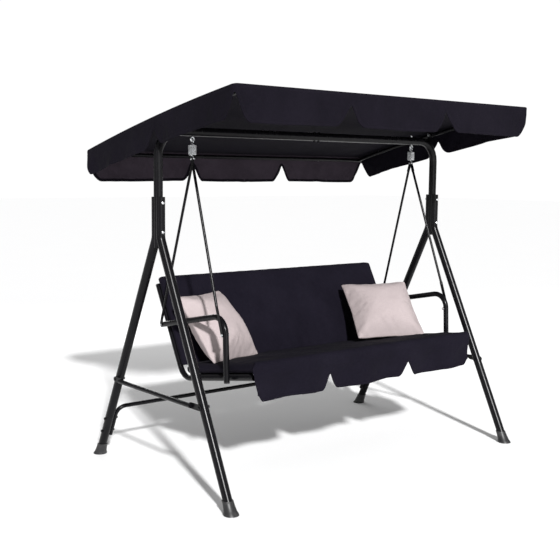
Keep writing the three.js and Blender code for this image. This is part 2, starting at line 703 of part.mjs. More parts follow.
// ---------- pillows ----------
// A square pillow: a flat square that tapers to a thin edge all round.
const PILLOW_HALF = 155;
const PILLOW_THICK = 96;
const PILLOW_TAPER = 52;
function pillow({ centre, leanDeg, turnDeg, rollDeg }) {
  const core = PILLOW_HALF - PILLOW_TAPER;
  const shape = new THREE.Shape();
  shape.moveTo(-core, -core);
  shape.lineTo(core, -core);
  shape.lineTo(core, core);
  shape.lineTo(-core, core);
  shape.closePath();
  const rim = 4;
  const geometry = new THREE.ExtrudeGeometry(shape, {
    depth: rim,
    bevelEnabled: true,
    bevelThickness: (PILLOW_THICK - rim) / 2,
    bevelSize: PILLOW_TAPER,
    bevelSegments: 3,
  });
  geometry.translate(0, 0, -rim / 2);
  geometry.rotateZ(rollDeg * rad);
  geometry.rotateX(Math.PI / 2 - leanDeg * rad);
  geometry.rotateZ(turnDeg * rad);
  geometry.translate(...centre);
  return toManifold(geometry);
}
const PILLOWS = {
  left: { centre: [-500, 37, 635.5], leanDeg: 35.2, turnDeg: 19.8, rollDeg: 0 },
  right: { centre: [444, -47, 640], leanDeg: 47, turnDeg: -28.2, rollDeg: 4.5 },
};
for (const [name, place] of Object.entries(PILLOWS)) add(`pillow_${name}`, pillow(place), pillowCloth);

// ---------- canopy ----------
const ROOF_FRONT = [-562, 1618.5];
const ROOF_REAR = [553, 1388.5];
const ROOF_CROWN = 14; // rise of the roof's middle over a straight line from front to rear

// Height of the roof's top surface at a depth Y.
function roofZ(y) {
  const t = (y - ROOF_FRONT[0]) / (ROOF_REAR[0] - ROOF_FRONT[0]);
  const line = ROOF_FRONT[1] + t * (ROOF_REAR[1] - ROOF_FRONT[1]);
  return line + ROOF_CROWN * 4 * t * (1 - t);
}
const roofSteps = 8;
const roofYs = (from, to) => Array.from({ length: roofSteps + 1 }, (_, i) => from + ((to - from) * i) / roofSteps);

function roof() {
  const ys = roofYs(ROOF_FRONT[0], ROOF_REAR[0]);
  const top = ys.map((y) => [y, roofZ(y)]);
  const under = ys.map((y) => [y, roofZ(y) - ROOF_THICK]).reverse();
  return slab([...top, ...under].reverse(), ROOF_HALF);
}
add("canopy_roof", roof(), canopyCloth);

// A hanging edge flap, drawn as distance along and height: panels with rounded corners and notches between.
function flapShape({ from, to, topAt, bottomAt, notches, notchDepth, endInset }) {
  const round = 26;
  const mouth = 70;
  const lip = 9;
  const shape = new THREE.Shape();
  shape.moveTo(from, topAt(from));
  shape.lineTo(from, topAt(from) - 20);
  const dip = (x, depthAt) => topAt(x) - depthAt;
  shape.quadraticCurveTo(from + endInset * 0.35, dip(from, 40), from + endInset * 0.75, bottomAt(from) + round);
  shape.quadraticCurveTo(from + endInset, bottomAt(from), from + endInset + round, bottomAt(from + endInset));
  for (const x of notches) {
    shape.lineTo(x - mouth - round, bottomAt(x - mouth));
    shape.quadraticCurveTo(x - mouth, bottomAt(x - mouth), x - mouth + 18, bottomAt(x - mouth) + round);
    shape.quadraticCurveTo(x - lip - 14, dip(x, notchDepth + 26), x - lip, dip(x, notchDepth));
    shape.quadraticCurveTo(x, dip(x, notchDepth - 9), x + lip, dip(x, notchDepth));
    shape.quadraticCurveTo(x + lip + 14, dip(x, notchDepth + 26), x + mouth - 18, bottomAt(x + mouth) + round);
    shape.quadraticCurveTo(x + mouth, bottomAt(x + mouth), x + mouth + round, bottomAt(x + mouth));
  }
  shape.lineTo(to - endInset - round, bottomAt(to - endInset));
  shape.quadraticCurveTo(to - endInset, bottomAt(to), to - endInset * 0.75, bottomAt(to) + round);
  shape.quadraticCurveTo(to - endInset * 0.35, dip(to, 40), to, dip(to, 20));
  shape.lineTo(to, topAt(to));
  const ys = roofYs(to, from).slice(1, -1);
  for (const y of ys) shape.lineTo(y, topAt(y));
  shape.closePath();
  return shape;
}

function flapSolid(shape) {
  return new THREE.ExtrudeGeometry(shape, { depth: CLOTH_THICK, bevelEnabled: false, curveSegments: 4 });
}

const flapEdgeX = ROOF_HALF - CLOTH_THICK - GAP;
const lengthFlap = (top, bottom, notches) =>
  flapShape({
    from: -flapEdgeX,
    to: flapEdgeX,
    topAt: () => top,
    bottomAt: () => bottom,
    notches,
    notchDepth: 58,
    endInset: 44,
  });
const FLAP_DROP = { front: 138, rear: 143, side: 124 };
const THIRD = 283;
const underFront = roofZ(ROOF_FRONT[0] + CLOTH_THICK) - ROOF_THICK - GAP - 1;
const underRear = roofZ(ROOF_REAR[0]) - ROOF_THICK - GAP;
for (const [name, top, y, drop] of [
  ["front", underFront, ROOF_FRONT[0] + CLOTH_THICK, FLAP_DROP.front],
  ["rear", underRear, ROOF_REAR[0], FLAP_DROP.rear],
]) {
  const geometry = flapSolid(lengthFlap(top, top - drop, [-THIRD, THIRD]));
  geometry.rotateX(Math.PI / 2);
  geometry.translate(0, y, 0);
  add(`valance_${name}`, toManifold(geometry), canopyCloth);
}

for (const [name, side] of Object.entries(SIDES)) {
  const topAt = (y) => roofZ(y) - ROOF_THICK - GAP;
  const shape = flapShape({
    from: ROOF_FRONT[0] + CLOTH_THICK + GAP,
    to: ROOF_REAR[0] - CLOTH_THICK - GAP,
    topAt,
    bottomAt: (y) => topAt(y) - FLAP_DROP.side,
    notches: [-8],
    notchDepth: 58,
    endInset: 36,
  });
  const x = side < 0 ? -ROOF_HALF : ROOF_HALF - CLOTH_THICK;
  add(`valance_${name}`, toManifold(standInSidePlane(flapSolid(shape), x)), canopyCloth);
}

// Canopy frame: two arched side tubes clamped at the brackets, and a tube along the front and rear edges.
const canopyTubeZ = (y) => roofZ(y) - ROOF_THICK - GAP - CANOPY_TUBE_R - 1;
const EDGE_TUBE_IN = 16; // from the roof's edge to the middle of the edge tubes
const edgeFrontY = ROOF_FRONT[0] + EDGE_TUBE_IN;
const edgeRearY = ROOF_REAR[0] - EDGE_TUBE_IN;
for (const [name, y] of [["front", edgeFrontY], ["rear", edgeRearY]]) {
  const z = canopyTubeZ(y) - 1;
  const half = ROOF_HALF - 12;
  add(`canopy_tube_${name}`, pipe([-half, y, z], [half, y, z], CANOPY_TUBE_R, 1, 14), blackPaint);
}

function canopySide(side) {
  const x = side * CANOPY_TUBE_X;
  const inset = CANOPY_TUBE_R + 4;
  const ys = roofYs(edgeFrontY + inset, edgeRearY - inset);
  const stops = ys.map((y) => new THREE.Vector3(x, y, canopyTubeZ(y)));
  const path = new StopPath(stops, new THREE.Vector3(1, 0, 0));
  const tube = sweep(discShape(CANOPY_TUBE_R, 12, CANOPY_TUBE_R - 1), path);
  return tube.subtract(rod([x - 20, 0, CANOPY_PIVOT_Z], [x + 20, 0, CANOPY_PIVOT_Z], 4 + GAP, 12));
}

// The clamp screw of the canopy: head outside, shank through the side tube and the bracket, nut inside.
function canopyClamp(side) {
  const at = (x) => [side * x, 0, CANOPY_PIVOT_Z];
  const headX = CANOPY_TUBE_X + CANOPY_TUBE_R + GAP;
  const nutX = BRACKET_X - 2 - GAP;
  return bolt(at(headX), at(nutX), 4, 9);
}

for (const [name, side] of Object.entries(SIDES)) {
  add(`canopy_side_${name}`, canopySide(side), blackPaint);
  add(`canopy_clamp_${name}`, canopyClamp(side), zinc);
}

export default swing;
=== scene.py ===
import json
import math

import bpy
import numpy as np
from mathutils import Matrix, Vector


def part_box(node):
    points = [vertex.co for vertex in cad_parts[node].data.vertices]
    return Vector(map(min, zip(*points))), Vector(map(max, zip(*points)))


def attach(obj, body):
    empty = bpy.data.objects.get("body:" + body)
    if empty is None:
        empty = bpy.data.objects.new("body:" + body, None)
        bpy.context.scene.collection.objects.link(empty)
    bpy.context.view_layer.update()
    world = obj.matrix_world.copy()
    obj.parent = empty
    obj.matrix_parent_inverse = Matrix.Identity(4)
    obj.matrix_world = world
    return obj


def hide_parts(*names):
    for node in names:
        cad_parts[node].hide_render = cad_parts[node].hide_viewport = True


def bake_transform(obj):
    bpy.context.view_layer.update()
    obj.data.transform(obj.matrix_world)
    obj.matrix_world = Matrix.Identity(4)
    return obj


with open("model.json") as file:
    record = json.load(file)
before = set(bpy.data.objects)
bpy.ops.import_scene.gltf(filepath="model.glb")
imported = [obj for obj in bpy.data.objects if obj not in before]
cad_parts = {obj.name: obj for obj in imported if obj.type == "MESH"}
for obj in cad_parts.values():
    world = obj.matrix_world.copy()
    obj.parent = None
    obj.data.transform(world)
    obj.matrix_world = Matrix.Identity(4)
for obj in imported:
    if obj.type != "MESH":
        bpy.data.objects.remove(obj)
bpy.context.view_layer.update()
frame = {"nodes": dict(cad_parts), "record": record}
NODES = frame["nodes"]
SIDES = ("left", "right")

# ---------- camera ----------
CAMERA_AT = (-2.93212, -3.36886, 1.30083)
YAW, PITCH, ROLL = math.radians(39.2237), math.radians(6.3548), math.radians(0.6015)
FOCAL_MM = 61.542


def make_camera():
    forward = Vector((math.sin(YAW) * math.cos(PITCH), math.cos(YAW) * math.cos(PITCH), -math.sin(PITCH)))
    right = Vector((math.cos(YAW), -math.sin(YAW), 0))
    up = right.cross(forward)
    x_axis = right * math.cos(ROLL) + up * math.sin(ROLL)
    y_axis = up * math.cos(ROLL) - right * math.sin(ROLL)
    data = bpy.data.cameras.new("camera")
    data.sensor_width = 36
    data.lens = FOCAL_MM
    data.clip_end = 100
    camera = bpy.data.objects.new("camera", data)
    bpy.context.scene.collection.objects.link(camera)
    turn = Matrix((x_axis, y_axis, -forward)).transposed().to_4x4()
    camera.matrix_world = Matrix.Translation(CAMERA_AT) @ turn
    bpy.context.scene.camera = camera


make_camera()

# ---------- lights and floor ----------
SUN_FROM = Vector((-0.352, -0.796, 0.492))
LOOKED_AT = Vector((0, 0, 0.9))
AMBIENT = 0.27
SUN_STRENGTH = 5.0
BACKDROP_STRENGTH = 1.02
SOFTBOXES = (  # name, place, width and height in metres, watts
    ("fill_front", (-0.6, -5.2, 0.9), 3.6, 1.5, 40),
    ("strip_left", (-5.0, -0.6, 1.6), 0.35, 3.0, 13),
    ("strip_right", (3.6, -3.4, 1.6), 0.35, 3.0, 13),
    ("strip_back", (1.5, 4.6, 2.2), 3.0, 0.7, 45),
)


def make_lights():
    scene = bpy.context.scene
    scene.view_settings.view_transform = "Standard"
    scene.view_settings.look = "None"
    world = bpy.data.worlds.new("studio")
    world.use_nodes = True
    tree = world.node_tree
    background = tree.nodes["Background"]
    background.inputs["Color"].default_value = (1, 1, 1, 1)
    background.inputs["Strength"].default_value = AMBIENT
    backdrop = tree.nodes.new("ShaderNodeBackground")
    backdrop.inputs["Color"].default_value = (1, 1, 1, 1)
    backdrop.inputs["Strength"].default_value = BACKDROP_STRENGTH
    seen = tree.nodes.new("ShaderNodeLightPath")
    choose = tree.nodes.new("ShaderNodeMixShader")
    tree.links.new(seen.outputs["Is Camera Ray"], choose.inputs[0])
    tree.links.new(background.outputs[0], choose.inputs[1])
    tree.links.new(backdrop.outputs[0], choose.inputs[2])
    tree.links.new(choose.outputs[0], tree.nodes["World Output"].inputs["Surface"])
    scene.world = world
    sun = bpy.data.lights.new("key", "SUN")
    sun.energy = SUN_STRENGTH
    sun.angle = math.radians(3.5)
    lamp = bpy.data.objects.new("key", sun)
    lamp.rotation_mode = "QUATERNION"
    lamp.rotation_quaternion = SUN_FROM.to_track_quat("Z", "Y")
    scene.collection.objects.link(lamp)
    for name, at, wide, tall, watts in SOFTBOXES:
        data = bpy.data.lights.new(name, "AREA")
        data.shape = "RECTANGLE"
        data.size, data.size_y = wide, tall
        data.energy = watts
        box = bpy.data.objects.new(name, data)
        box.location = at
        box.rotation_mode = "QUATERNION"
        box.rotation_quaternion = (Vector(at) - LOOKED_AT).to_track_quat("Z", "Y")
        scene.collection.objects.link(box)


make_lights()


def new_object(name, points, faces, uvs=None):
    """A smooth-shaded mesh object; uvs maps each UV layer's name to one (u, v) for each point."""
    mesh = bpy.data.meshes.new(name)
    mesh.from_pydata([tuple(p) for p in np.asarray(points, float)], [], [tuple(map(int, f)) for f in faces])
    if uvs is not None:
        corner_points = np.zeros(len(mesh.loops), np.int32)
        mesh.loops.foreach_get("vertex_index", corner_points)
        for layer_name, values in uvs.items():
            layer = mesh.uv_layers.new(name=layer_name)
            layer.data.foreach_set("uv", np.asarray(values, np.float32)[corner_points].ravel())
    mesh.polygons.foreach_set("use_smooth", np.ones(len(mesh.polygons), bool))
    mesh.update()
    obj = bpy.data.objects.new(name, mesh)
    bpy.context.scene.collection.objects.link(obj)
    return obj


# ---------- shader parts ----------
class Shader:
    """A material with a Principled shader, and short calls to add nodes before it."""

    def __init__(self, name, **sockets):
        self.material = bpy.data.materials.new(name)
        self.material.use_nodes = True
        self.tree = self.material.node_tree
        self.shader = next(n for n in self.tree.nodes if n.type == "BSDF_PRINCIPLED")
        for socket, value in sockets.items():
            self.shader.inputs[socket.replace("_", " ")].default_value = value

    def node(self, kind, inputs=(), **settings):
        made = self.tree.nodes.new(kind)
        for key, value in settings.items():
            setattr(made, key, value)
        for key, value in dict(inputs).items():
            self.feed(made.inputs[key], value)
        return made

    def feed(self, socket, value):
        if isinstance(value, bpy.types.NodeSocket):
            self.tree.links.new(value, socket)
        else:
            socket.default_value = value

    def math(self, operation, a, b=0.0):
        return self.node("ShaderNodeMath", {0: a, 1: b}, operation=operation).outputs[0]

    def place(self, scale=(1, 1, 1)):
        """Object coordinates in metres, stretched by scale."""
        coordinates = self.node("ShaderNodeTexCoord").outputs["Object"]
        mapping = self.node("ShaderNodeMapping", {"Vector": coordinates, "Scale": scale})
        return mapping.outputs["Vector"]

    def noise(self, where, scale, detail=3.0, roughness=0.5):
        made = self.node(
            "ShaderNodeTexNoise",
            {"Vector": where, "Scale": scale, "Detail": detail, "Roughness": roughness},
        )
        return made.outputs["Fac"]

    def span(self, value, low, high, to_low=0.0, to_high=1.0):
        """value between low and high, as a smooth step from to_low to to_high."""
        made = self.node(
            "ShaderNodeMapRange",
            {"Value": value, "From Min": low, "From Max": high, "To Min": to_low, "To Max": to_high},
            interpolation_type="SMOOTHSTEP",
        )
        return made.outputs["Result"]

    def mix(self, share, a, b):
        made = self.node("ShaderNodeMix", data_type="RGBA")
        self.feed(made.inputs[0], share)
        for socket, value in ((made.inputs[6], a), (made.inputs[7], b)):
            self.feed(socket, value if isinstance(value, bpy.types.NodeSocket) else (*value, 1))
        return made.outputs[2]

    def bump(self, height, distance, strength=1.0, onto=None):
        inputs = {"Height": height, "Distance": distance, "Strength": strength}
        if onto is not None:
            inputs["Normal"] = onto
        return self.node("ShaderNodeBump", inputs).outputs["Normal"]

    def end(self, color, roughness, normal):
        """Feeds the shader and gives the material; roughness None leaves the plain value from the start."""
        for socket, value in (("Base Color", color), ("Roughness", roughness), ("Normal", normal)):
            if value is not None:
                self.feed(self.shader.inputs[socket], value)
        return self.material


def paint_material():
    s = Shader("frame_paint", Specular_IOR_Level=0.15)
    where = s.place()
    dust = s.span(s.noise(where, 9.0, 5.0, 0.6), 0.52, 0.78)
    scuffs = s.span(s.noise(s.place((1, 1, 0.15)), 130.0, 2.0), 0.66, 0.74)
    color = s.mix(s.math("MULTIPLY", dust, 0.35), (0.0035, 0.0033, 0.0042), (0.009, 0.0088, 0.0096))
    color = s.mix(s.math("MULTIPLY", scuffs, 0.10), color, (0.05, 0.05, 0.05))
    roughness = s.math("ADD", s.span(dust, 0, 1, 0.26, 0.34), s.math("MULTIPLY", scuffs, 0.1))
    peel = s.bump(s.noise(where, 200.0, 1.0), 0.00008, 0.35)
    return s.end(color, roughness, peel)


def zinc_material():
    s = Shader("zinc_hardware", Metallic=1.0)
    where = s.place()
    cells = s.node("ShaderNodeTexVoronoi", {"Vector": where, "Scale": 420.0}).outputs["Color"]
    spangle = s.node("ShaderNodeSeparateColor", {"Color": cells}).outputs[0]
    stain = s.span(s.noise(where, 45.0, 4.0, 0.6), 0.5, 0.75)
    color = s.mix(spangle, (0.60, 0.62, 0.64), (0.78, 0.79, 0.80))
    color = s.mix(s.math("MULTIPLY", stain, 0.3), color, (0.38, 0.37, 0.36))
    roughness = s.span(s.math("ADD", stain, spangle), 0, 2, 0.24, 0.48)
    return s.end(color, roughness, s.bump(s.noise(where, 900.0, 3.0), 0.0002, 0.35))


def plastic_material():
    s = Shader("black_plastic", Specular_IOR_Level=0.45)
    where = s.place()
    grain = s.noise(where, 750.0, 3.0)
    rub = s.span(s.noise(where, 30.0, 4.0), 0.5, 0.7)
    color = s.mix(rub, (0.013, 0.013, 0.014), (0.03, 0.03, 0.031))
    return s.end(color, s.span(rub, 0, 1, 0.42, 0.6), s.bump(grain, 0.0003, 0.5))


STITCH_FROM_EDGE = 0.009
STITCH_PITCH = 0.0036
SLUB_LONG, SLUB_SHORT = 40, 900  # noise scale along a thread and across it


def woven_material(name, dark, light, pitch, sheen, bump=0.6, thread=None, faded=None):
    """A plain weave of the given thread pitch, read from the cloth's own flat coordinates, with sewn lines.

    The UV layers it reads are cloth (the flat cloth in metres), seam (metres along the edge and in from it) and,
    if the argument after thread gives a second, lighter dark and light tone, the layer of the same name (the share of
    that tone, which is painted light).
    """
    s = Shader(name, Roughness=0.85, Sheen_Weight=sheen, Sheen_Roughness=0.45, Specular_IOR_Level=0.05)
    flat = s.node("ShaderNodeUVMap", uv_map="cloth").outputs["UV"]
    parts = s.node("ShaderNodeSeparateXYZ", {"Vector": flat})
    per = 1 / pitch
    across, along = (s.math("MULTIPLY", parts.outputs[i], per) for i in (0, 1))
    warp = s.math("ABSOLUTE", s.math("SINE", s.math("MULTIPLY", across, math.pi)))
    weft = s.math("ABSOLUTE", s.math("SINE", s.math("MULTIPLY", along, math.pi)))
    cell = s.math("ADD", s.math("FLOOR", across), s.math("FLOOR", along))
    over = s.math("PINGPONG", cell, 1.0)
    weave = s.math("ADD", s.math("MULTIPLY", warp, over), s.math("MULTIPLY", weft, s.math("SUBTRACT", 1.0, over)))
    slub_u, slub_v = (
        s.noise(s.node("ShaderNodeMapping", {"Vector": flat, "Scale": scale}).outputs[0], 1.0, 2.0)
        for scale in ((SLUB_SHORT, SLUB_LONG, 1), (SLUB_LONG, SLUB_SHORT, 1))
    )
    slub = s.math("MULTIPLY", s.math("ADD", slub_u, slub_v), 0.5)
    cloud = s.noise(s.place(), 5.0, 4.0, 0.55)
    tone = s.math("ADD", s.math("MULTIPLY", s.span(slub, 0.35, 0.65), 0.45), s.math("MULTIPLY", weave, 0.25))
    tone = s.math("ADD", tone, s.math("MULTIPLY", s.span(cloud, 0.35, 0.7), 0.3))
    color = s.mix(tone, dark, light)
    # Painted light: a lighter second tone is mixed in by its layer's share, standing in for light on cloth that lies
    # in shade.
    if faded is not None:
        painted_light_share = s.node("ShaderNodeUVMap", uv_map="faded").outputs["UV"]
        painted_light_share = s.node("ShaderNodeSeparateXYZ", {"Vector": painted_light_share})
        color = s.mix(painted_light_share.outputs[0], color, s.mix(tone, *faded))
    height = s.math("ADD", weave, s.math("MULTIPLY", slub, 0.6))
    soft = s.bump(s.noise(s.place(), 22.0, 5.0, 0.6), 0.0054, 0.5)
    normal = s.bump(height, 0.00022, bump, soft)
    edge = s.node("ShaderNodeUVMap", uv_map="seam").outputs["UV"]
    run = s.node("ShaderNodeSeparateXYZ", {"Vector": edge})
    from_line = s.math("ABSOLUTE", s.math("SUBTRACT", run.outputs[1], STITCH_FROM_EDGE))
    on_line = s.span(from_line, 0.0004, 0.0010, 1.0, 0.0)
    dash = s.math("PINGPONG", s.math("MULTIPLY", run.outputs[0], 1 / STITCH_PITCH), 1.0)
    stitch = s.math("MULTIPLY", on_line, s.span(dash, 0.25, 0.42))
    gully = s.span(from_line, 0.0, 0.004, 0.0, 1.0)
    color = s.mix(s.math("MULTIPLY", stitch, 0.8), color, thread or light)
    normal = s.bump(gully, 0.0008, 0.6, normal)
    normal = s.bump(stitch, 0.0006, 0.8, normal)
    return s.end(color, None, normal)


def floor_material():
    s = Shader("floor", Roughness=0.75, Specular_IOR_Level=0.2)
    grain = s.noise(s.place(), 60.0, 3.0)
    color = s.mix(s.noise(s.place(), 1.3, 3.0), (0.975, 0.975, 0.98), (0.99, 0.99, 0.99))
    return s.end(color, None, s.bump(grain, 0.0002, 0.2))


PAINT = paint_material()
ZINC = zinc_material()
PLASTIC = plastic_material()
CANOPY = woven_material(
    "canopy_fabric",
    dark=(0.0033, 0.0027, 0.0051),
    light=(0.0085, 0.0070, 0.0117),
    pitch=0.0009,
    sheen=0.006,
    # The second, lighter tones are painted light for the rear flap, which lies in the canopy's own shade.
    faded=((0.026, 0.0200, 0.0270), (0.051, 0.040, 0.053)),
)
CUSHION = woven_material(
    "cushion_fabric",
    dark=(0.0038, 0.0031, 0.0064),
    light=(0.0094, 0.0080, 0.0140),
    pitch=0.0010,
    sheen=0.006,
)
SLING = woven_material(
    "sling_fabric",
    dark=(0.0045, 0.0042, 0.0055),
    light=(0.011, 0.0105, 0.0125),
    pitch=0.0016,
    sheen=0.01,
    bump=0.9,
)
PILLOW = woven_material(
    "pillow_fabric",
    dark=(0.335, 0.285, 0.287),
    light=(0.435, 0.372, 0.373),
    pitch=0.0014,
    sheen=0.04,
    bump=0.8,
    thread=(0.5, 0.42, 0.41),
)

FINISH = {"frame_paint": PAINT, "zinc_hardware": ZINC, "black_plastic": PLASTIC}

FLOOR_HALF = 40
FLOOR_CORNERS = [(x * FLOOR_HALF, y * FLOOR_HALF, 0) for x, y in ((-1, -1), (1, -1), (1, 1), (-1, 1))]
floor = new_object("floor", FLOOR_CORNERS, [(0, 1, 2, 3)])
floor.data.materials.append(floor_material())

# ---------- hard parts from the CAD ----------
SLOT_OF = {part["node"]: part["material_slot"] for part in frame["record"]["subparts"]}
SMOOTH_BELOW = math.radians(32)


def smoothing_modifier():
    """Geometry nodes that join the facets' points and shade all but sharp edges smooth."""
    tree = bpy.data.node_groups.new("smooth_tubes", "GeometryNodeTree")
    tree.interface.new_socket("Geometry", in_out="INPUT", socket_type="NodeSocketGeometry")
    tree.interface.new_socket("Geometry", in_out="OUTPUT", socket_type="NodeSocketGeometry")
    start, end = tree.nodes.new("NodeGroupInput"), tree.nodes.new("NodeGroupOutput")
    merge = tree.nodes.new("GeometryNodeMergeByDistance")
    merge.inputs["Distance"].default_value = 1e-6
    angle = tree.nodes.new("GeometryNodeInputMeshEdgeAngle")
    flatter = tree.nodes.new("FunctionNodeCompare")
    flatter.data_type = "FLOAT"
    flatter.operation = "LESS_THAN"
    flatter.inputs[1].default_value = SMOOTH_BELOW
    faces = tree.nodes.new("GeometryNodeSetShadeSmooth")
    faces.domain = "FACE"
    edges = tree.nodes.new("GeometryNodeSetShadeSmooth")
    edges.domain = "EDGE"
    link = tree.links.new
    link(start.outputs[0], merge.inputs["Geometry"])
    link(merge.outputs[0], faces.inputs["Geometry"])
    link(faces.outputs[0], edges.inputs["Geometry"])
    link(angle.outputs["Unsigned Angle"], flatter.inputs[0])
    link(flatter.outputs[0], edges.inputs["Shade Smooth"])
    link(edges.outputs[0], end.inputs[0])
    return tree


SMOOTHING = smoothing_modifier()
for node_name, obj in NODES.items():
    kept = FINISH.get(SLOT_OF[node_name])
    if kept is None:
        continue
    obj.data.materials.clear()
    obj.data.materials.append(kept)
    obj.data.normals_split_custom_set(np.zeros((len(obj.data.loops), 3)))
    modifier = obj.modifiers.new("smooth", "NODES")
    modifier.node_group = SMOOTHING


# ---------- cloth helpers ----------
def waves(seed, count, longest, shortest, directions=None):
    """A smooth random field on a plane: a sum of plane waves, within about -1 to 1."""
    rng = np.random.default_rng(seed)
    angle = rng.uniform(0, math.pi, count) if directions is None else rng.choice(directions, count)
    angle = angle + rng.normal(0, 0.12, count)
    length = np.exp(rng.uniform(math.log(shortest), math.log(longest), count))
    phase = rng.uniform(0, 2 * math.pi, count)
    weight = length / length.max()

    def field(u, v):
        total = 0
        for a, wavelength, p, w in zip(angle, length, phase, weight):
            total = total + w * np.sin(2 * math.pi * (u * math.cos(a) + v * math.sin(a)) / wavelength + p)
        return total / np.sqrt((weight**2).sum() * 2)

    return field


def step(low, high, value):
    t = np.clip((np.asarray(value, float) - low) / (high - low), 0, 1)
    return t * t * (3 - 2 * t)


def graded(low, high, spots, fine, coarse, reach):
    """Places from low to high, fine within reach of any of the spots and coarse elsewhere."""
    x = np.linspace(low, high, 4000)
    near = np.min([np.abs(x - spot) for spot in spots], axis=0)
    size = fine + (coarse - fine) * step(reach, 2 * reach, near)
    steps = np.concatenate([[0], np.cumsum((1 / size)[:-1] * np.diff(x))])
    count = max(2, round(steps[-1]))
    return np.interp(np.linspace(0, steps[-1], count + 1), steps, x)


def dress(obj, material, body):
    obj.data.materials.append(material)
    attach(obj, body)
    return obj


CLOTH = 0.0012  # the thickness of every single layer of cloth


def thicken(obj, offset=-1.0):
    """Gives a sheet its thickness, below its surface with an offset of -1 and above it with 1."""
    modifier = obj.modifiers.new("thickness", "SOLIDIFY")
    modifier.thickness = CLOTH
    modifier.offset = offset


def subdivide(obj):
    modifier = obj.modifiers.new("smooth", "SUBSURF")
    modifier.levels = modifier.render_levels = 1


def grid_faces(nx, ny, start=0):
    index = start + np.arange(nx * ny).reshape(nx, ny)
    return [
        (index[i, j], index[i + 1, j], index[i + 1, j + 1], index[i, j + 1])
        for i in range(nx - 1)
        for j in range(ny - 1)
    ]


def grid_rim(nx, ny):
    """The places (i, j) round the rim of a grid, in order."""
    rim = [(i, 0) for i in range(nx - 1)] + [(nx - 1, j) for j in range(ny - 1)]
    return rim + [(i, ny - 1) for i in range(nx - 1, 0, -1)] + [(0, j) for j in range(ny - 1, 0, -1)]


def rim_faces(before, after):
    """The faces between two rings of as many points."""
    count = len(before)
    return [(before[k], after[k], after[(k + 1) % count], before[(k + 1) % count]) for k in range(count)]


def band_faces(count, wide, closed=False):
    """The faces of a band of count rings with wide points each, closed to a loop or with its ends filled."""
    faces = []
    for i in range(count if closed else count - 1):
        n = (i + 1) % count
        for k in range(wide):
            m = (k + 1) % wide
            faces.append((i * wide + k, i * wide + m, n * wide + m, n * wide + k))
    if not closed:
        faces += [tuple(range(wide))[::-1], tuple(range((count - 1) * wide, count * wide))]
    return faces


# ---------- canopy ----------
ROOF_LOW, ROOF_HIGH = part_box("canopy_roof")
HALF = ROOF_HIGH.x + 0.003
FRONT, REAR = ROOF_LOW.y, ROOF_HIGH.y + 0.013
FRONT_Z, REAR_Z = 1.6237, 1.3930
CROWN = 0.014
TURN_R = 0.007  # how tightly the cloth turns over the edge tubes
TURN_LENGTH = TURN_R * math.pi / 2
CORNER_R = 0.024  # the canopy's corners, seen from above
ROOF_SAG = 0.007
ROOF_CREASE = 0.0016


def roof_z(y):
    t = (y - FRONT) / (REAR - FRONT)
    return FRONT_Z + t * (REAR_Z - FRONT_Z) + CROWN * 4 * t * (1 - t)


STRAIGHT_X = 2 * (HALF - CORNER_R)
STRAIGHT_Y = (REAR - FRONT) - 2 * CORNER_R
ARC = CORNER_R * math.pi / 2
EDGE_STARTS = np.cumsum([0, STRAIGHT_X, ARC, STRAIGHT_Y, ARC, STRAIGHT_X, ARC, STRAIGHT_Y])
EDGE_LENGTH = EDGE_STARTS[-1] + ARC
SIDE_LENGTHS = (STRAIGHT_X, STRAIGHT_Y) * 2
MID_Y = (FRONT + REAR) / 2


def edge_at(s):
    """Where the canopy's outer edge is at the distance s round it, and its outward direction, in plan."""
    s = np.mod(np.asarray(s, float), EDGE_LENGTH)
    part = np.searchsorted(EDGE_STARTS, s, side="right") - 1
    rest = s - EDGE_STARTS[part]
    quarter = part // 2
    x0, y0 = HALF - CORNER_R, (REAR - FRONT) / 2 - CORNER_R
    turn = quarter * math.pi / 2  # the direction of a straight part; its outside is to the right
    along = np.where(part % 2 == 0, 0, rest / CORNER_R)
    facing = turn - math.pi / 2 + along
    nx, ny = np.cos(facing), np.sin(facing)
    corner_x = np.choose(quarter, [x0, x0, -x0, -x0])
    corner_y = np.choose(quarter, [-y0, y0, y0, -y0])
    back = np.where(part % 2 == 0, np.choose(quarter, SIDE_LENGTHS) - rest, 0)
    x = corner_x + CORNER_R * nx - back * np.cos(turn)
    y = corner_y + CORNER_R * ny - back * np.sin(turn) + MID_Y
    return x, y, nx, ny


# The edge flaps, in the order front, right, rear, left. Depths are from the roof's top.
DROPS = (0.1425, 0.126, 0.139, 0.126)
NOTCH_REACH = (0.084, 0.078, 0.060, 0.078)
NOTCH_TOP = 0.056
CORNER_NOTCH = 0.034
CORNER_REACH = (0.078, 0.064)  # along the front and rear edges, and along the side edges
THIRD = 0.283  # how far from the middle the front's and rear's notches are
SIDE_NOTCH_Y = -0.008
NOTCH_ROUND = 0.007  # how far from a notch's top its rounding reaches


def bell(distance, reach):
    """The outline of a notch: 0 at its top and 1 from reach on."""
    rounded = np.hypot(distance, NOTCH_ROUND) - NOTCH_ROUND
    share = rounded / (np.hypot(reach, NOTCH_ROUND) - NOTCH_ROUND)
    return np.sin(math.pi / 2 * np.clip(share, 0, 1)) ** 0.95


def away_from(s, centre):
    """The signed distance from centre to s, the short way round the edge."""
    return (s - centre + EDGE_LENGTH / 2) % EDGE_LENGTH - EDGE_LENGTH / 2


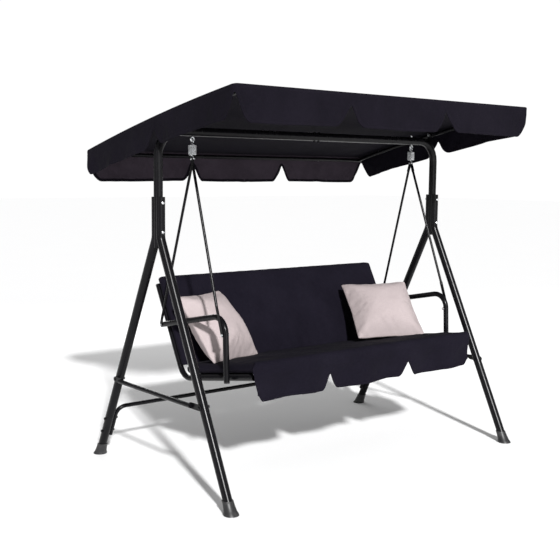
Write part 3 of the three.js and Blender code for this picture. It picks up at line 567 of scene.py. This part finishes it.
def edge_notches():
    """The notches round the edge: (distance along the edge, depth of the notch's top, reach before and after)."""
    long_side, right_side = (-THIRD, THIRD), (SIDE_NOTCH_Y - MID_Y,)
    left_side = (MID_Y - SIDE_NOTCH_Y,)
    found = []
    for quarter, spots in enumerate((long_side, right_side, long_side, left_side)):
        centre = EDGE_STARTS[2 * quarter] + SIDE_LENGTHS[quarter] / 2
        reach = NOTCH_REACH[quarter]
        found += [(centre + spot, NOTCH_TOP, reach, reach) for spot in spots]
    for quarter in range(4):
        before, after = CORNER_REACH if quarter % 2 == 0 else CORNER_REACH[::-1]
        found.append((EDGE_STARTS[2 * quarter + 1] + ARC / 2, CORNER_NOTCH, before, after))
    return found


NOTCHES = edge_notches()


def drop_at(s):
    """How far the canopy's edge flap hangs below the roof's edge at the distance s."""
    s = np.mod(np.asarray(s, float), EDGE_LENGTH)
    quarter = np.searchsorted(EDGE_STARTS[1::2] + ARC / 2, s) % 4
    depth = np.choose(quarter, DROPS) + 0.002 * np.sin(s * 9.0)
    for centre, top, before, after in NOTCHES:
        away = away_from(s, centre)
        reach = np.where(away < 0, before, after)
        depth = np.where(np.abs(away) < reach, top + (depth - top) * bell(away, reach), depth)
    return depth


flap_folds = waves(11, 9, 0.46, 0.13, [0.0])
flap_creases = waves(12, 12, 0.10, 0.03)
FLAP_OUT = 0.003  # how far a flap's lower part stands out
FLAP_FOLD = 0.0100
FLAP_CREASE = 0.0026
HEM_IN = 0.0015
NOTCH_CURL = 0.006
CURL_AT = 0.035  # from a notch's middle


def flap_point(s, depth, off=0.0):
    """A point of the edge flap: s round the edge, depth down along the cloth, off out from the cloth."""
    x, y, nx, ny = edge_at(s)
    depth = np.asarray(depth, float)
    angle = np.clip(depth / TURN_R, 0, math.pi / 2)
    radius = TURN_R + off
    out = -TURN_R + radius * np.sin(angle)
    down = TURN_R - radius * np.cos(angle)
    straight = np.clip(depth - TURN_LENGTH, 0, None)
    down = down + straight
    out = out + step(0.015, 0.13, straight) * (FLAP_FOLD * flap_folds(s, depth) + FLAP_OUT)
    out = out + FLAP_CREASE * step(0.0, 0.05, straight) * flap_creases(s, depth)
    out = out - HEM_IN * step(0.03, 0.0, drop_at(s) - depth)
    for centre, *_ in NOTCHES:
        away = np.abs(away_from(s, centre))
        curl = np.exp(-(((away - CURL_AT) / CURL_AT) ** 2)) * step(0.02, 0.11, straight)
        out = out - NOTCH_CURL * curl * np.sign(np.sin(centre * 37.0))
    under = y + ny * np.minimum(out, 0)
    return np.stack([x + nx * out, y + ny * out, roof_z(under) - down], axis=-1)


roof_creases = waves(21, 16, 0.7, 0.12)


def roof_grid():
    """The roof inside its turned edges, as grids of x, y, z and the distance in from the edge."""
    half, low_y, high_y = HALF - TURN_R, FRONT + TURN_R, REAR - TURN_R
    radius = CORNER_R - TURN_R
    mid, half_y = (low_y + high_y) / 2, (high_y - low_y) / 2
    x_lines = graded(-half, half, [-half, half, -THIRD, THIRD], 0.006, 0.018, 0.09)
    y_lines = graded(low_y, high_y, [low_y, high_y, SIDE_NOTCH_Y], 0.006, 0.018, 0.09)
    grid_x, grid_y = np.meshgrid(x_lines, y_lines, indexing="ij")
    # The square corners of the grid are drawn in to round ones.
    dx = np.clip(np.abs(grid_x) - (half - radius), 0, None) / radius
    dy = np.clip(np.abs(grid_y - mid) - (half_y - radius), 0, None) / radius
    round_x = dx * np.sqrt(1 - dy**2 / 2) * radius
    round_y = dy * np.sqrt(1 - dx**2 / 2) * radius
    x = np.where(dx > 0, np.sign(grid_x) * (half - radius + round_x), grid_x)
    y = np.where(dy > 0, mid + np.sign(grid_y - mid) * (half_y - radius + round_y), grid_y)
    t = (y - FRONT) / (REAR - FRONT)
    span_x = np.clip(1 - (x / half) ** 2, 0, 1)
    span_y = np.clip(4 * t * (1 - t), 0, 1)
    edge_in = np.minimum(half - np.abs(x), half_y - np.abs(y - mid))
    creases = ROOF_CREASE * step(0.0, 0.10, edge_in) * roof_creases(x, y)
    return x, y, roof_z(y) - ROOF_SAG * span_x * span_y + creases, edge_in


def places_on_edge(points):
    """The distance round the edge of each point on the roof's rim."""
    table = np.linspace(0, EDGE_LENGTH, 40001)[:-1]
    x, y, nx, ny = edge_at(table)
    inner = np.stack([x - nx * TURN_R, y - ny * TURN_R], -1)
    return np.array([table[np.argmin(((inner - p[:2]) ** 2).sum(1))] for p in points])


def canopy_sheet():
    """The roof and, going on from its rim, the turned edge and the four flaps."""
    x, y, z, edge_in = roof_grid()
    nx, ny = x.shape
    points = list(np.stack([x, y, z], -1).reshape(-1, 3))
    cloth_uv = list(np.stack([x, y], -1).reshape(-1, 2))
    seam_uv = list(np.stack([x.ravel(), edge_in.ravel() + 0.03], -1))
    faces = grid_faces(nx, ny)
    ring = [i * ny + j for i, j in grid_rim(nx, ny)]
    count = len(ring)
    ring_s = places_on_edge([points[i] for i in ring])
    turn_rows = np.linspace(0, TURN_LENGTH, 6)[1:]
    flap_length = drop_at(ring_s) - TURN_LENGTH
    depths = [np.full(count, d) for d in turn_rows]
    depths += [TURN_LENGTH + share * flap_length for share in np.linspace(0, 1, 13)[1:]]
    for depth in depths:
        row = list(range(len(points), len(points) + count))
        points += list(flap_point(ring_s, depth))
        cloth_uv += list(np.stack([ring_s, depth + 3], -1))
        seam_uv += list(np.stack([ring_s, np.abs(depth - TURN_R * 2) + 0.004], -1))
        faces += rim_faces(ring, row)
        ring = row
    # Painted light: the rear flap takes the lighter tone, standing in for light that does not reach it in the canopy's
    # shade.
    at_rear = step(REAR - 0.03, REAR - 0.004, np.array(points)[:, 1])
    faded = np.stack([at_rear, at_rear], -1)
    return new_object("canopy_cloth", points, faces, {"cloth": cloth_uv, "seam": seam_uv, "faded": faded})


HEM_STEP = 0.004
# A hem's cross section: how far in from the cloth's edge, and how far out from its face.
CANOPY_HEM = (
    *((-0.0012, 0.0004), (-0.0004, 0.0014), (0.003, 0.0012), (0.0105, 0.0010), (0.0118, 0.0001)),
    *((0.0118, -0.0013), (0.0105, -0.0022), (0.003, -0.0024), (-0.0004, -0.0026), (-0.0012, -0.0016)),
)


def canopy_hem():
    """The turned and sewn hem along the canopy's lower edge: a flat band round both faces of the cloth."""
    s = np.arange(0, EDGE_LENGTH, HEM_STEP)
    line = np.stack([s, drop_at(s)], -1)
    ahead, behind = np.roll(line, -1, 0), np.roll(line, 1, 0)
    run = ahead - behind
    run[0, 0] += EDGE_LENGTH
    run[-1, 0] += EDGE_LENGTH
    run = sum(np.roll(run, k, 0) for k in (-2, -1, 0, 1, 2))
    run /= np.linalg.norm(run, axis=1)[:, None]
    inward = np.stack([run[:, 1], -run[:, 0]], -1)
    inward *= np.where(inward[:, 1] > 0, -1, 1)[:, None]
    rows = []
    for distance, off in CANOPY_HEM:
        at = line + inward * distance
        rows.append(flap_point(at[:, 0], at[:, 1], off))
    count, wide = len(s), len(CANOPY_HEM)
    points = np.stack(rows, 1).reshape(-1, 3)
    seam = np.stack([np.repeat(s, wide), np.tile([abs(d) for d, _ in CANOPY_HEM], count)], -1)
    faces = band_faces(count, wide, closed=True)
    return new_object("canopy_hem", points, faces, {"cloth": seam + (0, 5), "seam": seam})


def make_canopy():
    sheet = dress(canopy_sheet(), CANOPY, "canopy")
    thicken(sheet)
    hem = dress(canopy_hem(), CANOPY, "canopy")
    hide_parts("canopy_roof", "valance_front", "valance_rear", "valance_left", "valance_right")


make_canopy()

# ---------- bench planes ----------
RISE = math.radians(9.9)  # how much the seat rises towards its front
LEAN = math.radians(27.9)  # how much the back leans backwards from upright
CORNER = np.array([0.0995, 0.4017])  # where the seat's and the back's planes meet, in Y and Z
SEAT_DIR = np.array([-math.cos(RISE), math.sin(RISE)])
SEAT_UP = np.array([math.sin(RISE), math.cos(RISE)])
BACK_DIR = np.array([math.sin(LEAN), math.cos(LEAN)])
BACK_OUT = np.array([-math.cos(LEAN), math.sin(LEAN)])


def plane_matrix(direction, up):
    """Local X along the bench, local Y along the seat or back from their corner, local Z off the frame."""
    return Matrix(
        (
            (1, 0, 0, 0),
            (0, direction[0], up[0], CORNER[0]),
            (0, direction[1], up[1], CORNER[1]),
            (0, 0, 0, 1),
        )
    )


ON_SEAT = plane_matrix(SEAT_DIR, SEAT_UP)
ON_BACK = plane_matrix(BACK_DIR, BACK_OUT)
TUBE_R = 0.0125
SEAT_TUBE_X = 0.640
PAD_LOW = TUBE_R + 0.0026
PAD_THICK = 0.049
PAD_HIGH = PAD_LOW + PAD_THICK
PAD_HALF = 0.650


def settle(obj, matrix):
    """Moves the mesh itself, so that the object stays at the frame's origin."""
    obj.data.transform(matrix)
    if matrix.determinant() < 0:
        obj.data.flip_normals()
    obj.data.update()


SLING_LOW = 0.062
SLING_CURL = 0.95  # radians round the side tubes
SLING_SAG = 0.0015
SLING_UNEVEN = 0.0006


def sling(name, matrix, high, node, seed):
    """Woven fabric stretched over the side tubes, curling a little way down their outer sides."""
    half, low = SEAT_TUBE_X, SLING_LOW
    curl = np.linspace(0, SLING_CURL, 6)[1:]
    flat_x = np.linspace(-half, half, 61)
    radius = TUBE_R + 0.0009
    edge_x = half + radius * np.sin(curl)
    edge_z = radius * np.cos(curl)
    x = np.concatenate([-edge_x[::-1], flat_x, edge_x])
    z = np.concatenate([edge_z[::-1], np.full(len(flat_x), radius), edge_z])
    y = np.linspace(low, high, 25)
    run = np.concatenate([-half - radius * curl[::-1], flat_x, half + radius * curl])
    gx, gy = np.meshgrid(x, y, indexing="ij")
    gz = np.repeat(z[:, None], len(y), 1)
    sag = waves(seed, 6, 0.5, 0.2)
    slack = np.clip(1 - (gx / half) ** 2, 0, 1)
    gz = gz - SLING_SAG * slack - SLING_UNEVEN * np.clip(slack * 4, 0, 1) * sag(gx, gy)
    uv = np.stack([np.repeat(run[:, None], len(y), 1), np.repeat(y[None], len(x), 0)], -1).reshape(-1, 2)
    rim = np.minimum(uv[:, 0] - run[0], run[-1] - uv[:, 0])
    rim = np.minimum(rim, np.minimum(uv[:, 1] - low, high - uv[:, 1]))
    seam = np.stack([uv[:, 0] + uv[:, 1], rim], -1)
    points = np.stack([gx, gy, gz], -1).reshape(-1, 3)
    obj = new_object(name, points, grid_faces(len(x), len(y)), {"cloth": uv, "seam": seam})
    settle(obj, matrix)
    thicken(obj, 1.0)
    dress(obj, SLING, "bench")
    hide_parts(node)


sling("seat_sling_cloth", ON_SEAT, 0.5087, "seat_sling", 31)
sling("back_sling_cloth", ON_BACK, 0.443, "back_sling", 32)


# ---------- cushions ----------
CORNER_HALF = (math.pi / 2 - RISE + LEAN) / 2  # half the angle between the seat and the back
PAD_TOP_START = PAD_HIGH / math.tan(CORNER_HALF) + 0.0006
PAD_LOW_START = 0.053
NOSE_R = PAD_THICK / 2
NOSE_BULGE = NOSE_R * 0.55
SIDE_BULGE = 0.004
SWELL_REACH = 0.07  # how far in from its sewn edges a panel is still drawn down
TOP_DRAWN, LOW_DRAWN = 0.015, 0.013
CROWN_UP = 0.003
FOLD_UP, CREASE_UP = 0.0042, 0.0018
WALL_ROWS = 7


def rounded(share):
    """A quarter of a circle: 0 at 0, and 1 from 1 on."""
    return np.sqrt(1 - (1 - np.clip(share, 0, 1)) ** 2)


def pad(name, length, seed):
    """A long cushion: sewn top and bottom panels round a side strip, crowned, with seams that draw it in."""
    panel_end = length - NOSE_BULGE
    x = graded(-PAD_HALF, PAD_HALF, [-PAD_HALF, PAD_HALF], 0.006, 0.014, 0.03)
    share = graded(0, 1, [0, 1], 0.009, 0.024, 0.05)
    n, m = len(x), len(share)
    folds = waves(seed, 14, 0.55, 0.10)
    small = waves(seed + 1, 18, 0.12, 0.03)
    pucker = waves(seed + 2, 14, 0.09, 0.02)

    def panel(top):
        start = PAD_TOP_START if top else PAD_LOW_START
        gx, gs = np.meshgrid(x, share, indexing="ij")
        gy = start + gs * (panel_end - start)
        near = np.minimum(PAD_HALF - np.abs(gx), panel_end - gy)
        drawn = 1 - rounded(near / SWELL_REACH)
        if not top:
            return gx, gy, PAD_LOW + LOW_DRAWN * drawn, near
        level = PAD_HIGH - TOP_DRAWN * drawn + CROWN_UP * step(0.02, 0.2, near)
        level = level + FOLD_UP * folds(gx, gy) * step(0.0, 0.09, near)
        level = level + CREASE_UP * small(gx, gy) * step(0, 0.03, near)
        return gx, gy, level - 0.004 * (1 - rounded((gy - start) / 0.03)), near

    points, cloth, seam, faces = [], [], [], []
    rim = grid_rim(n, m)
    rim_points, rim_index = [], []
    for top in (True, False):
        gx, gy, gz, near = panel(top)
        start = len(points)
        grid = np.stack([gx, gy, gz], -1)
        rim_points.append(np.array([grid[i, j] for i, j in rim]))
        rim_index.append(np.array([start + i * m + j for i, j in rim]))
        points += list(grid.reshape(-1, 3))
        cloth += list(np.stack([gx.ravel(), gy.ravel() + (0 if top else 2)], -1))
        seam += list(np.stack([(gx + gy).ravel(), near.ravel() + 0.001], -1))
        faces += [f if top else f[::-1] for f in grid_faces(n, m, start)]
    upper, lower = rim_points
    out = np.array([((i == n - 1) - (i == 0), (j == m - 1) - (j == 0)) for i, j in rim], float)
    out /= np.maximum(np.linalg.norm(out, axis=1), 1)[:, None]
    forward = np.array([j == m - 1 for _, j in rim])
    back = np.array([j == 0 for _, j in rim])
    run = np.concatenate([[0], np.cumsum(np.linalg.norm(np.diff(upper, axis=0), axis=1))])
    near_corner = np.exp(-np.minimum(np.abs(PAD_HALF - np.abs(upper[:, 0])), 1) / 0.012)
    bulge = np.where(forward, NOSE_BULGE * (1 - 0.35 * near_corner), np.where(back, 0.0, SIDE_BULGE))
    rows = [rim_index[0]]
    for k in range(1, WALL_ROWS):
        t = k / WALL_ROWS
        strip = upper * (1 - t) + lower * t
        push = bulge * np.sqrt(1 - (2 * t - 1) ** 2) + 0.0008 * pucker(run, t * 0.1) * ~back
        strip[:, :2] += out * push[:, None]
        rows.append(np.arange(len(points), len(points) + len(rim)))
        points += list(strip)
        height = t * PAD_THICK
        cloth += list(np.stack([run, np.full(len(run), height + 4)], -1))
        seam += list(np.stack([run, np.full(len(run), min(height, PAD_THICK - height) + 0.001)], -1))
    rows.append(rim_index[1])
    for first, second in zip(rows[:-1], rows[1:]):
        faces += rim_faces(first, second)
    return new_object(name, points, faces, {"cloth": cloth, "seam": seam})


def finish_pad(obj, matrix, node):
    settle(obj, matrix)
    subdivide(obj)
    dress(obj, CUSHION, "bench")
    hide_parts(node)


SEAT_LENGTH = 0.542
BACK_LENGTH = 0.469
finish_pad(pad("seat_cushion_soft", SEAT_LENGTH, 41), ON_SEAT, "seat_cushion")
finish_pad(pad("back_cushion_soft", BACK_LENGTH, 51), ON_BACK, "back_cushion")

# The skirt is sewn on top of the seat's front roll, follows it down and hangs in scallops.
SKIRT_LOW = 0.395
SKIRT_HALF = PAD_HALF - 0.004
SKIRT_NOTCHES = (-0.244, 0.216)
SKIRT_NOTCH_REACH = 0.054
SKIRT_NOTCH_TOP = 0.463


def skirt_end(x):
    """Height of the skirt's lower edge."""
    low = SKIRT_LOW + 0.0015 * np.sin(x * 11)
    for notch in SKIRT_NOTCHES:
        low = low + (SKIRT_NOTCH_TOP - SKIRT_LOW) * (1 - bell(x - notch, SKIRT_NOTCH_REACH))
    ends = step(0.030, 0.0, SKIRT_HALF - np.abs(x))
    return low + 0.028 * ends**1.6


skirt_folds = waves(61, 8, 0.42, 0.14, [0.0])
skirt_small = waves(62, 14, 0.12, 0.035)
NOSE = CORNER + SEAT_DIR * (SEAT_LENGTH - NOSE_R) + SEAT_UP * (PAD_LOW + NOSE_R)
SKIRT_ANGLES = (RISE + 0.15, math.pi / 2)  # round the roll: 0 faces up, a quarter turn faces the front
SKIRT_STANDS_OUT = 0.024  # of its left end, past the cushion
SKIRT_ROLL = 0.035  # the cloth's length over the roll


def skirt_point(x, t, off=0.0):
    """A point of the skirt, off out from the cloth.

    t goes from 0 at the sewn top to 1 where the roll turns down, and is then 1 and the metres of drop below that.
    """
    angle = SKIRT_ANGLES[0] + (SKIRT_ANGLES[1] - SKIRT_ANGLES[0]) * np.clip(t, 0, 1)
    radius = NOSE_R + 0.0028 + off
    drop = np.clip(t - 1, 0, None)
    y = NOSE[0] - radius * np.sin(angle)
    z = NOSE[1] + radius * np.cos(angle) - drop
    loose = step(0.0, 0.09, drop)
    y = y + 0.006 * loose + loose * 0.009 * skirt_folds(x, drop)
    y = y + 0.0022 * skirt_small(x, z) * step(0, 0.03, drop)
    y = y + 0.0024 * np.sin(z * 210 + 0.8 * np.sin(x * 5)) * step(0.0, 0.012, drop) * step(0.06, 0.03, drop)
    # The left end stands out past the cushion and tapers towards the hem.
    drawn_in = (0.3 * drop - SKIRT_STANDS_OUT * step(0, 1, t)) * np.exp(-(x + PAD_HALF) / 0.05)
    return np.stack([x + drawn_in, y, z], -1)


def skirt():
    x = graded(-SKIRT_HALF, SKIRT_HALF, [-SKIRT_HALF, SKIRT_HALF, *SKIRT_NOTCHES], 0.004, 0.012, 0.06)
    full_drop = NOSE[1] - skirt_end(x)
    rows = [(t, t * SKIRT_ROLL, t * SKIRT_ROLL + 0.004) for t in (0.0, 0.15, 0.3, 0.45, 0.6, 0.75, 0.9, 1.0)]
    for share in np.linspace(0, 1, 13)[1:]:
        drop = share * full_drop
        rows.append((1 + drop, SKIRT_ROLL + drop, 0.04 + drop))
    every = np.zeros(len(x))
    points = np.stack([skirt_point(x, every + t) for t, _, _ in rows], 1).reshape(-1, 3)
    cloth = np.stack([np.stack([x, every + down], -1) for _, down, _ in rows], 1).reshape(-1, 2)
    seam = np.stack([np.stack([x, every + down], -1) for _, _, down in rows], 1).reshape(-1, 2)
    faces = [f[::-1] for f in grid_faces(len(x), len(rows))]
    return new_object("seat_skirt", points, faces, {"cloth": cloth, "seam": seam})


SKIRT_HEM = (
    *((-0.001, 0.0004), (0.0, 0.0013), (0.0085, 0.0011), (0.0095, 0.0001)),
    *((0.0095, -0.0013), (0.0085, -0.0022), (0.0, -0.0024), (-0.001, -0.0016)),
)


def skirt_hem():
    x = np.arange(-SKIRT_HALF, SKIRT_HALF + 1e-6, HEM_STEP)
    line = np.stack([x, NOSE[1] - skirt_end(x)], -1)
    run = np.gradient(line, axis=0)
    run /= np.linalg.norm(run, axis=1)[:, None]
    inward = np.stack([run[:, 1], -run[:, 0]], -1)
    rows = []
    for distance, off in SKIRT_HEM:
        at = line + inward * distance
        row = skirt_point(at[:, 0], 1 + at[:, 1], off)
        row[:, 1] -= off
        rows.append(row)
    wide, count = len(SKIRT_HEM), len(x)
    points = np.stack(rows, 1).reshape(-1, 3)
    faces = [(f[0], *f[:0:-1]) for f in band_faces(count, wide)]
    seam = np.stack([np.repeat(x, wide), np.tile([abs(d) for d, _ in SKIRT_HEM], count)], -1)
    return new_object("skirt_hem", points, faces, {"cloth": seam + (0, 2), "seam": seam})


def make_skirt():
    sheet = dress(skirt(), CUSHION, "bench")
    thicken(sheet)
    hem = dress(skirt_hem(), CUSHION, "bench")
    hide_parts("seat_cushion")


make_skirt()


# ---------- pillows ----------
PILLOW_CELLS = 40
PILLOW_SIZE = 0.345
PILLOW_SPAN = 0.335  # from side to side of the filled pillow
STIFFNESS = 0.8  # how much the piping keeps the edges straight
# Each pillow: its centre; degrees of lean from upright, of turn about Z and of turn in its own plane; how far its
# lower left, lower right, upper left and upper right corners are pulled sideways and up; and its seed.
PILLOWS = {
    "left": ((-0.504, 0.034, 0.630), 35.2, 19.8, 0.0, ((0, 0), (0.006, -0.014), (-0.008, 0.004), (-0.024, 0)), 71),
    "right": ((0.442, -0.045, 0.635), 47.0, -28.2, 4.5, ((-0.008, 0), (0, -0.020), (-0.006, 0.012), (0, 0)), 72),
}


def flat_pillow(name, size, cells):
    """Two square panels sewn together round their edge, a little apart inside it, and the edge's points."""
    line = np.linspace(-size / 2, size / 2, cells + 1)
    gx, gy = np.meshgrid(line, line, indexing="ij")
    edge = np.minimum(size / 2 - np.abs(gx), size / 2 - np.abs(gy))
    lift = 0.004 + 0.02 * step(0, 0.1, edge)
    count = (cells + 1) ** 2
    index = np.arange(count).reshape(cells + 1, cells + 1)
    inside = edge > 1e-9
    lower = np.full(count, -1)
    points = [*np.stack([gx, gy, np.where(inside, lift, 0)], -1).reshape(-1, 3)]
    cloth = [*np.stack([gx, gy], -1).reshape(-1, 2)]
    seam = [*np.stack([(gx + gy).ravel(), edge.ravel() + 0.002], -1)]
    for k, (flag, x, y, up, rim) in enumerate(zip(inside.ravel(), gx.ravel(), gy.ravel(), lift.ravel(), edge.ravel())):
        lower[k] = len(points) if flag else k
        if flag:
            points.append(np.array([x, y, -up]))
            cloth.append(np.array([x, y]))
            seam.append(np.array([x + y, rim + 0.002]))
    low_index = lower.reshape(index.shape)
    faces = []
    for i in range(cells):
        for j in range(cells):
            faces.append((index[i, j], index[i + 1, j], index[i + 1, j + 1], index[i, j + 1]))
            faces.append((low_index[i, j], low_index[i, j + 1], low_index[i + 1, j + 1], low_index[i + 1, j]))
    return new_object(name, points, faces, {"cloth": cloth, "seam": seam}), np.flatnonzero(edge.ravel() < 1e-9)


BLOW_FRAMES = 24
BLOW_PRESSURE = 5.0
SEAM_SHRINK = 0.05


def inflate(obj, seam_points):
    """Blows the sewn panels up as cloth, with the seam drawn in, and keeps the result as the mesh."""
    group = obj.vertex_groups.new(name="seam")
    group.add([int(i) for i in seam_points], 1.0, "REPLACE")
    cloth = obj.modifiers.new("cloth", "CLOTH")
    settings = cloth.settings
    settings.quality = 6
    settings.mass = 0.25
    settings.tension_stiffness = settings.compression_stiffness = 25
    settings.shear_stiffness = 8
    settings.bending_stiffness = 0.4
    settings.use_pressure = True
    settings.uniform_pressure_force = BLOW_PRESSURE
    settings.effector_weights.gravity = 0
    settings.vertex_group_shrink = "seam"
    settings.shrink_max = SEAM_SHRINK
    settings.air_damping = 5
    cloth.collision_settings.use_collision = False
    cloth.point_cache.frame_start = 1
    cloth.point_cache.frame_end = BLOW_FRAMES
    scene = bpy.context.scene
    for current in range(1, BLOW_FRAMES + 1):
        scene.frame_set(current)
    evaluated = obj.evaluated_get(bpy.context.evaluated_depsgraph_get())
    count = len(obj.data.vertices)
    moved = np.zeros(count * 3, np.float32)
    evaluated.data.vertices.foreach_get("co", moved)
    obj.modifiers.remove(cloth)
    scene.frame_set(1)
    obj.data.vertices.foreach_set("co", moved)
    obj.data.update()


def point_places(obj):
    return np.array([v.co for v in obj.data.vertices])


def make_pillow(side, centre, lean, turn, roll, corner_pulls, seed):
    obj, edge_points = flat_pillow(f"pillow_{side}_soft", PILLOW_SIZE, PILLOW_CELLS)
    cut = point_places(obj)
    inflate(obj, edge_points)
    co = point_places(obj)
    co[:, :2] *= PILLOW_SPAN / np.ptp(co[:, :2], axis=0)
    co[:, :2] += (cut[:, :2] * PILLOW_SPAN / PILLOW_SIZE - co[:, :2]) * STIFFNESS
    u, v = (2 * co[:, k] / PILLOW_SPAN for k in (0, 1))
    for pull, (a, b) in zip(corner_pulls, ((-1, -1), (1, -1), (-1, 1), (1, 1))):
        co[:, :2] += np.outer((1 + a * u) / 2 * (1 + b * v) / 2, pull)
    dents = waves(seed, 8, 0.25, 0.08)
    co[:, 2] += 0.003 * dents(co[:, 0], co[:, 1]) * np.sign(co[:, 2]) * step(0.0, 0.03, np.abs(co[:, 2]))
    obj.data.vertices.foreach_set("co", co.astype(np.float32).ravel())
    matrix = (
        Matrix.Translation(centre)
        @ Matrix.Rotation(math.radians(turn), 4, "Z")
        @ Matrix.Rotation(math.pi / 2 - math.radians(lean), 4, "X")
        @ Matrix.Rotation(math.radians(roll), 4, "Z")
    )
    settle(obj, matrix)
    subdivide(obj)
    dress(obj, PILLOW, "bench")
    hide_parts(f"pillow_{side}")


for side_name, facts in PILLOWS.items():
    make_pillow(side_name, *facts)

# ---------- springs ----------
WIRE_R = 0.002
COIL_R = 0.016
HOOK_R = 0.0085
HOOK_GAP = 0.003  # between a hook's ring and the coil
HOOK_TURN = (0.15, 5.2)  # radians from the coil's end to the hook's open end
COIL_TURNS = 9
TURN_STEPS = 40


def wire(name, line, radius, sides=12):
    """A round wire along a line of points."""
    ahead = np.roll(line, -1, 0) - np.roll(line, 1, 0)
    ahead[0], ahead[-1] = line[1] - line[0], line[-1] - line[-2]
    ahead /= np.linalg.norm(ahead, axis=1)[:, None]
    normal = np.cross(ahead[0], (0.3, 0.5, 0.8))
    rings = []
    for point, direction in zip(line, ahead):
        normal = normal - direction * (normal @ direction)
        normal /= np.linalg.norm(normal)
        side = np.cross(direction, normal)
        angle = 2 * math.pi * np.arange(sides) / sides
        rings.append(point + radius * (np.cos(angle)[:, None] * normal + np.sin(angle)[:, None] * side))
    return new_object(name, np.concatenate(rings), band_faces(len(line), sides))


def make_spring(side):
    low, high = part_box(f"spring_{side}")
    x = (low.x + high.x) / 2
    top_ring, low_ring = high.z - WIRE_R - HOOK_R, low.z + WIRE_R + HOOK_R
    coil_top, coil_low = top_ring - HOOK_R - HOOK_GAP, low_ring + HOOK_R + HOOK_GAP
    near, far = HOOK_TURN
    line = []
    for a in np.linspace(-math.pi / 2 + far, -math.pi / 2 + near, 30):
        line.append((0, HOOK_R * math.cos(a), top_ring + HOOK_R * math.sin(a)))
    total = COIL_TURNS * TURN_STEPS
    for i in range(8, total - 7):
        a = -math.pi / 2 + 2 * math.pi * i / TURN_STEPS
        radius = COIL_R * min(1.0, min(i, total - i) / 20)
        line.append((radius * math.cos(a), radius * math.sin(a), coil_top + (coil_low - coil_top) * i / total))
    for a in np.linspace(math.pi / 2 + near, math.pi / 2 + far, 30):
        line.append((0, HOOK_R * math.cos(a), low_ring + HOOK_R * math.sin(a)))
    line = np.array(line)
    for _ in range(3):
        line[1:-1] = 0.5 * line[1:-1] + 0.25 * (line[:-2] + line[2:])
    line[:, 0] += x
    obj = wire(f"spring_{side}_coil", line, WIRE_R)
    obj.data.materials.append(ZINC)
    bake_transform(obj)
    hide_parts(f"spring_{side}")


for side_name in SIDES:
    make_spring(side_name)
